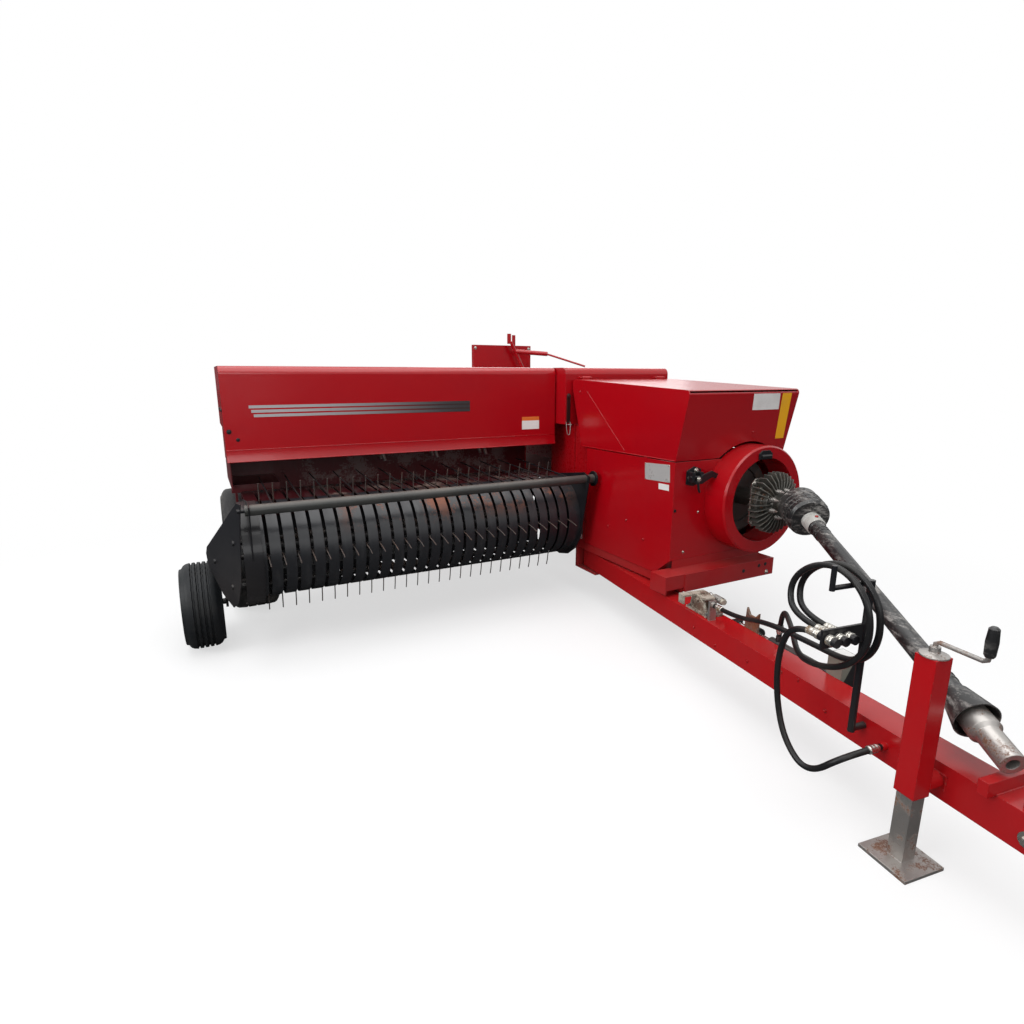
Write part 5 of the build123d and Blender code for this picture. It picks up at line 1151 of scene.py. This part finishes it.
# Twine box and knotters
# Open steel box with a lid behind the feeder, and two cast knotters behind a red panel.
for node, finish in (("twine_box", red), ("twine_lid", red), ("knotter_cover", red), ("bale_chute", dusty_red),
                     ("hook_post", red), ("knotter_frame", cast), ("needle_yoke", steel)):
    dressed(node, finish)
box_screws = [(spot(x, 470, z), BACK) for x in (-1735, -1085, -435) for z in (660, 880, 1095)]
box_screws += [(spot(-1750, y, z), RIGHT) for y in (40, 430) for z in (670, 1090)]
screws("box_screws", box_screws, 0.012, black, "frame", 17)
panel_screws = [(spot(x, 790, z), AHEAD) for x in (-262, 232) for z in (1230, 1400, 1585)]
screws("knotter_cover_screws", panel_screws, 0.013, plated, "frame", 18)
work = bmesh.new()
rim = teeth(30, ((0.0, 0.096), (0.28, 0.097), (0.42, 0.1085), (0.58, 0.1085), (0.72, 0.097)))
for x in (-155, 35):
    wheel = spot(x + 8, 920, 1352)
    slab(work, [wheel + Vector((0, cos(b), sin(b))) * r for r, b in rim], Vector((0.01, 0, 0)))
    turned(work, wheel, LEFT, ((0, 0.034), (0.016, 0.034), (0.018, 0.03), (0.026, 0.03)), 24)
piece_from("knotter_gears", work, cast, "frame", 30)


# Studio
# Pale floor that keeps the machine's shadow, white surroundings and four soft lamps.
def soft_lamp(name, where, aim, size, power):
    """An oblong lamp in metres and watts, turned towards its aim."""
    data = bpy.data.lights.new(name, "AREA")
    data.shape = "RECTANGLE"
    data.size = size[0]
    data.size_y = size[1]
    data.energy = power
    lamp = placed(name, data)
    lamp.location = where
    lamp.rotation_euler = (Vector(aim) - Vector(where)).to_track_quat("-Z", "Y").to_euler()


soft_lamp("sky_panel", (-0.5, -1.0, 6.5), (0, 0, 0.6), (8, 8), 430)
soft_lamp("side_panel", (-7.5, -1.2, 3.6), (0, -0.4, 0.8), (4, 3), 260)
soft_lamp("front_panel", (-2.5, -8.5, 3.0), (0, 0, 0.8), (5, 2.5), 90)
soft_lamp("back_panel", (4.5, 6.5, 4.0), (0, 0, 0.8), (5, 3), 90)


class WorldFinish(Finish):
    """The same node maker, on the world's own tree."""

    def __init__(self, world):
        self.tree = world.node_tree
        self.tree.nodes.clear()


world = bpy.data.worlds.new("pale_studio")
scene.world = world
world.use_nodes = True
sky = WorldFinish(world)
height = sky.part(sky.node("NewGeometry", {}, {}, "Incoming"), "Z") * -1
seen = sky.node("LightPath", {}, {}, "Is Camera Ray").most(sky.node("LightPath", {}, {}, "Is Transmission Ray"))
mirrored = sky.node("LightPath", {}, {}, "Is Glossy Ray")
lighting = sky.node("Background", {}, {"Color": (0.88, 0.9, 0.93), "Strength": 0.42})
dim = sky.node("Background", {}, {"Color": (0.8, 0.84, 0.9), "Strength": 0.1})
white = sky.node("Background", {}, {"Color": (1, 1, 1), "Strength": 1.0})
reflected = sky.node("MixShader", {}, {0: height.step(0.02, 0.16), 1: dim, 2: white})
around = sky.node("MixShader", {}, {0: mirrored, 1: lighting, 2: reflected})
whole = sky.node("MixShader", {}, {0: seen, 1: around, 2: white})
sky.tree.links.new(whole.socket, sky.tree.nodes.new("ShaderNodeOutputWorld").inputs["Surface"])

ground = Finish("pale_floor")
distance = ground.node("VectorMath", {"operation": "LENGTH"}, {0: ground.place}, "Value")
camera_ray = ground.node("LightPath", {}, {}, "Is Camera Ray")
glossy_ray = ground.node("LightPath", {}, {}, "Is Glossy Ray")
grey = ground.blend(glossy_ray, (0.36, 0.36, 0.36), (0.1, 0.1, 0.1))
concrete = ground.node("BsdfDiffuse", {}, {"Color": grey})
pale = ground.node("BsdfDiffuse", {}, {"Color": (0.9, 0.9, 0.9)})
glow = ground.node("Emission", {}, {"Color": (1, 1, 1), "Strength": 1.0})
faded = ground.node("MixShader", {}, {0: 0.62 + distance.step(1.6, 4.2) * 0.38, 1: pale, 2: glow})
ground.output(ground.node("MixShader", {}, {0: camera_ray, 1: concrete, 2: faded}))
work = bmesh.new()
bmesh.ops.create_grid(work, x_segments=1, y_segments=1, size=60)
floor_mesh = bpy.data.meshes.new("floor")
work.to_mesh(floor_mesh)
work.free()
floor_mesh.materials.append(ground.material)
floor = placed("floor", floor_mesh)
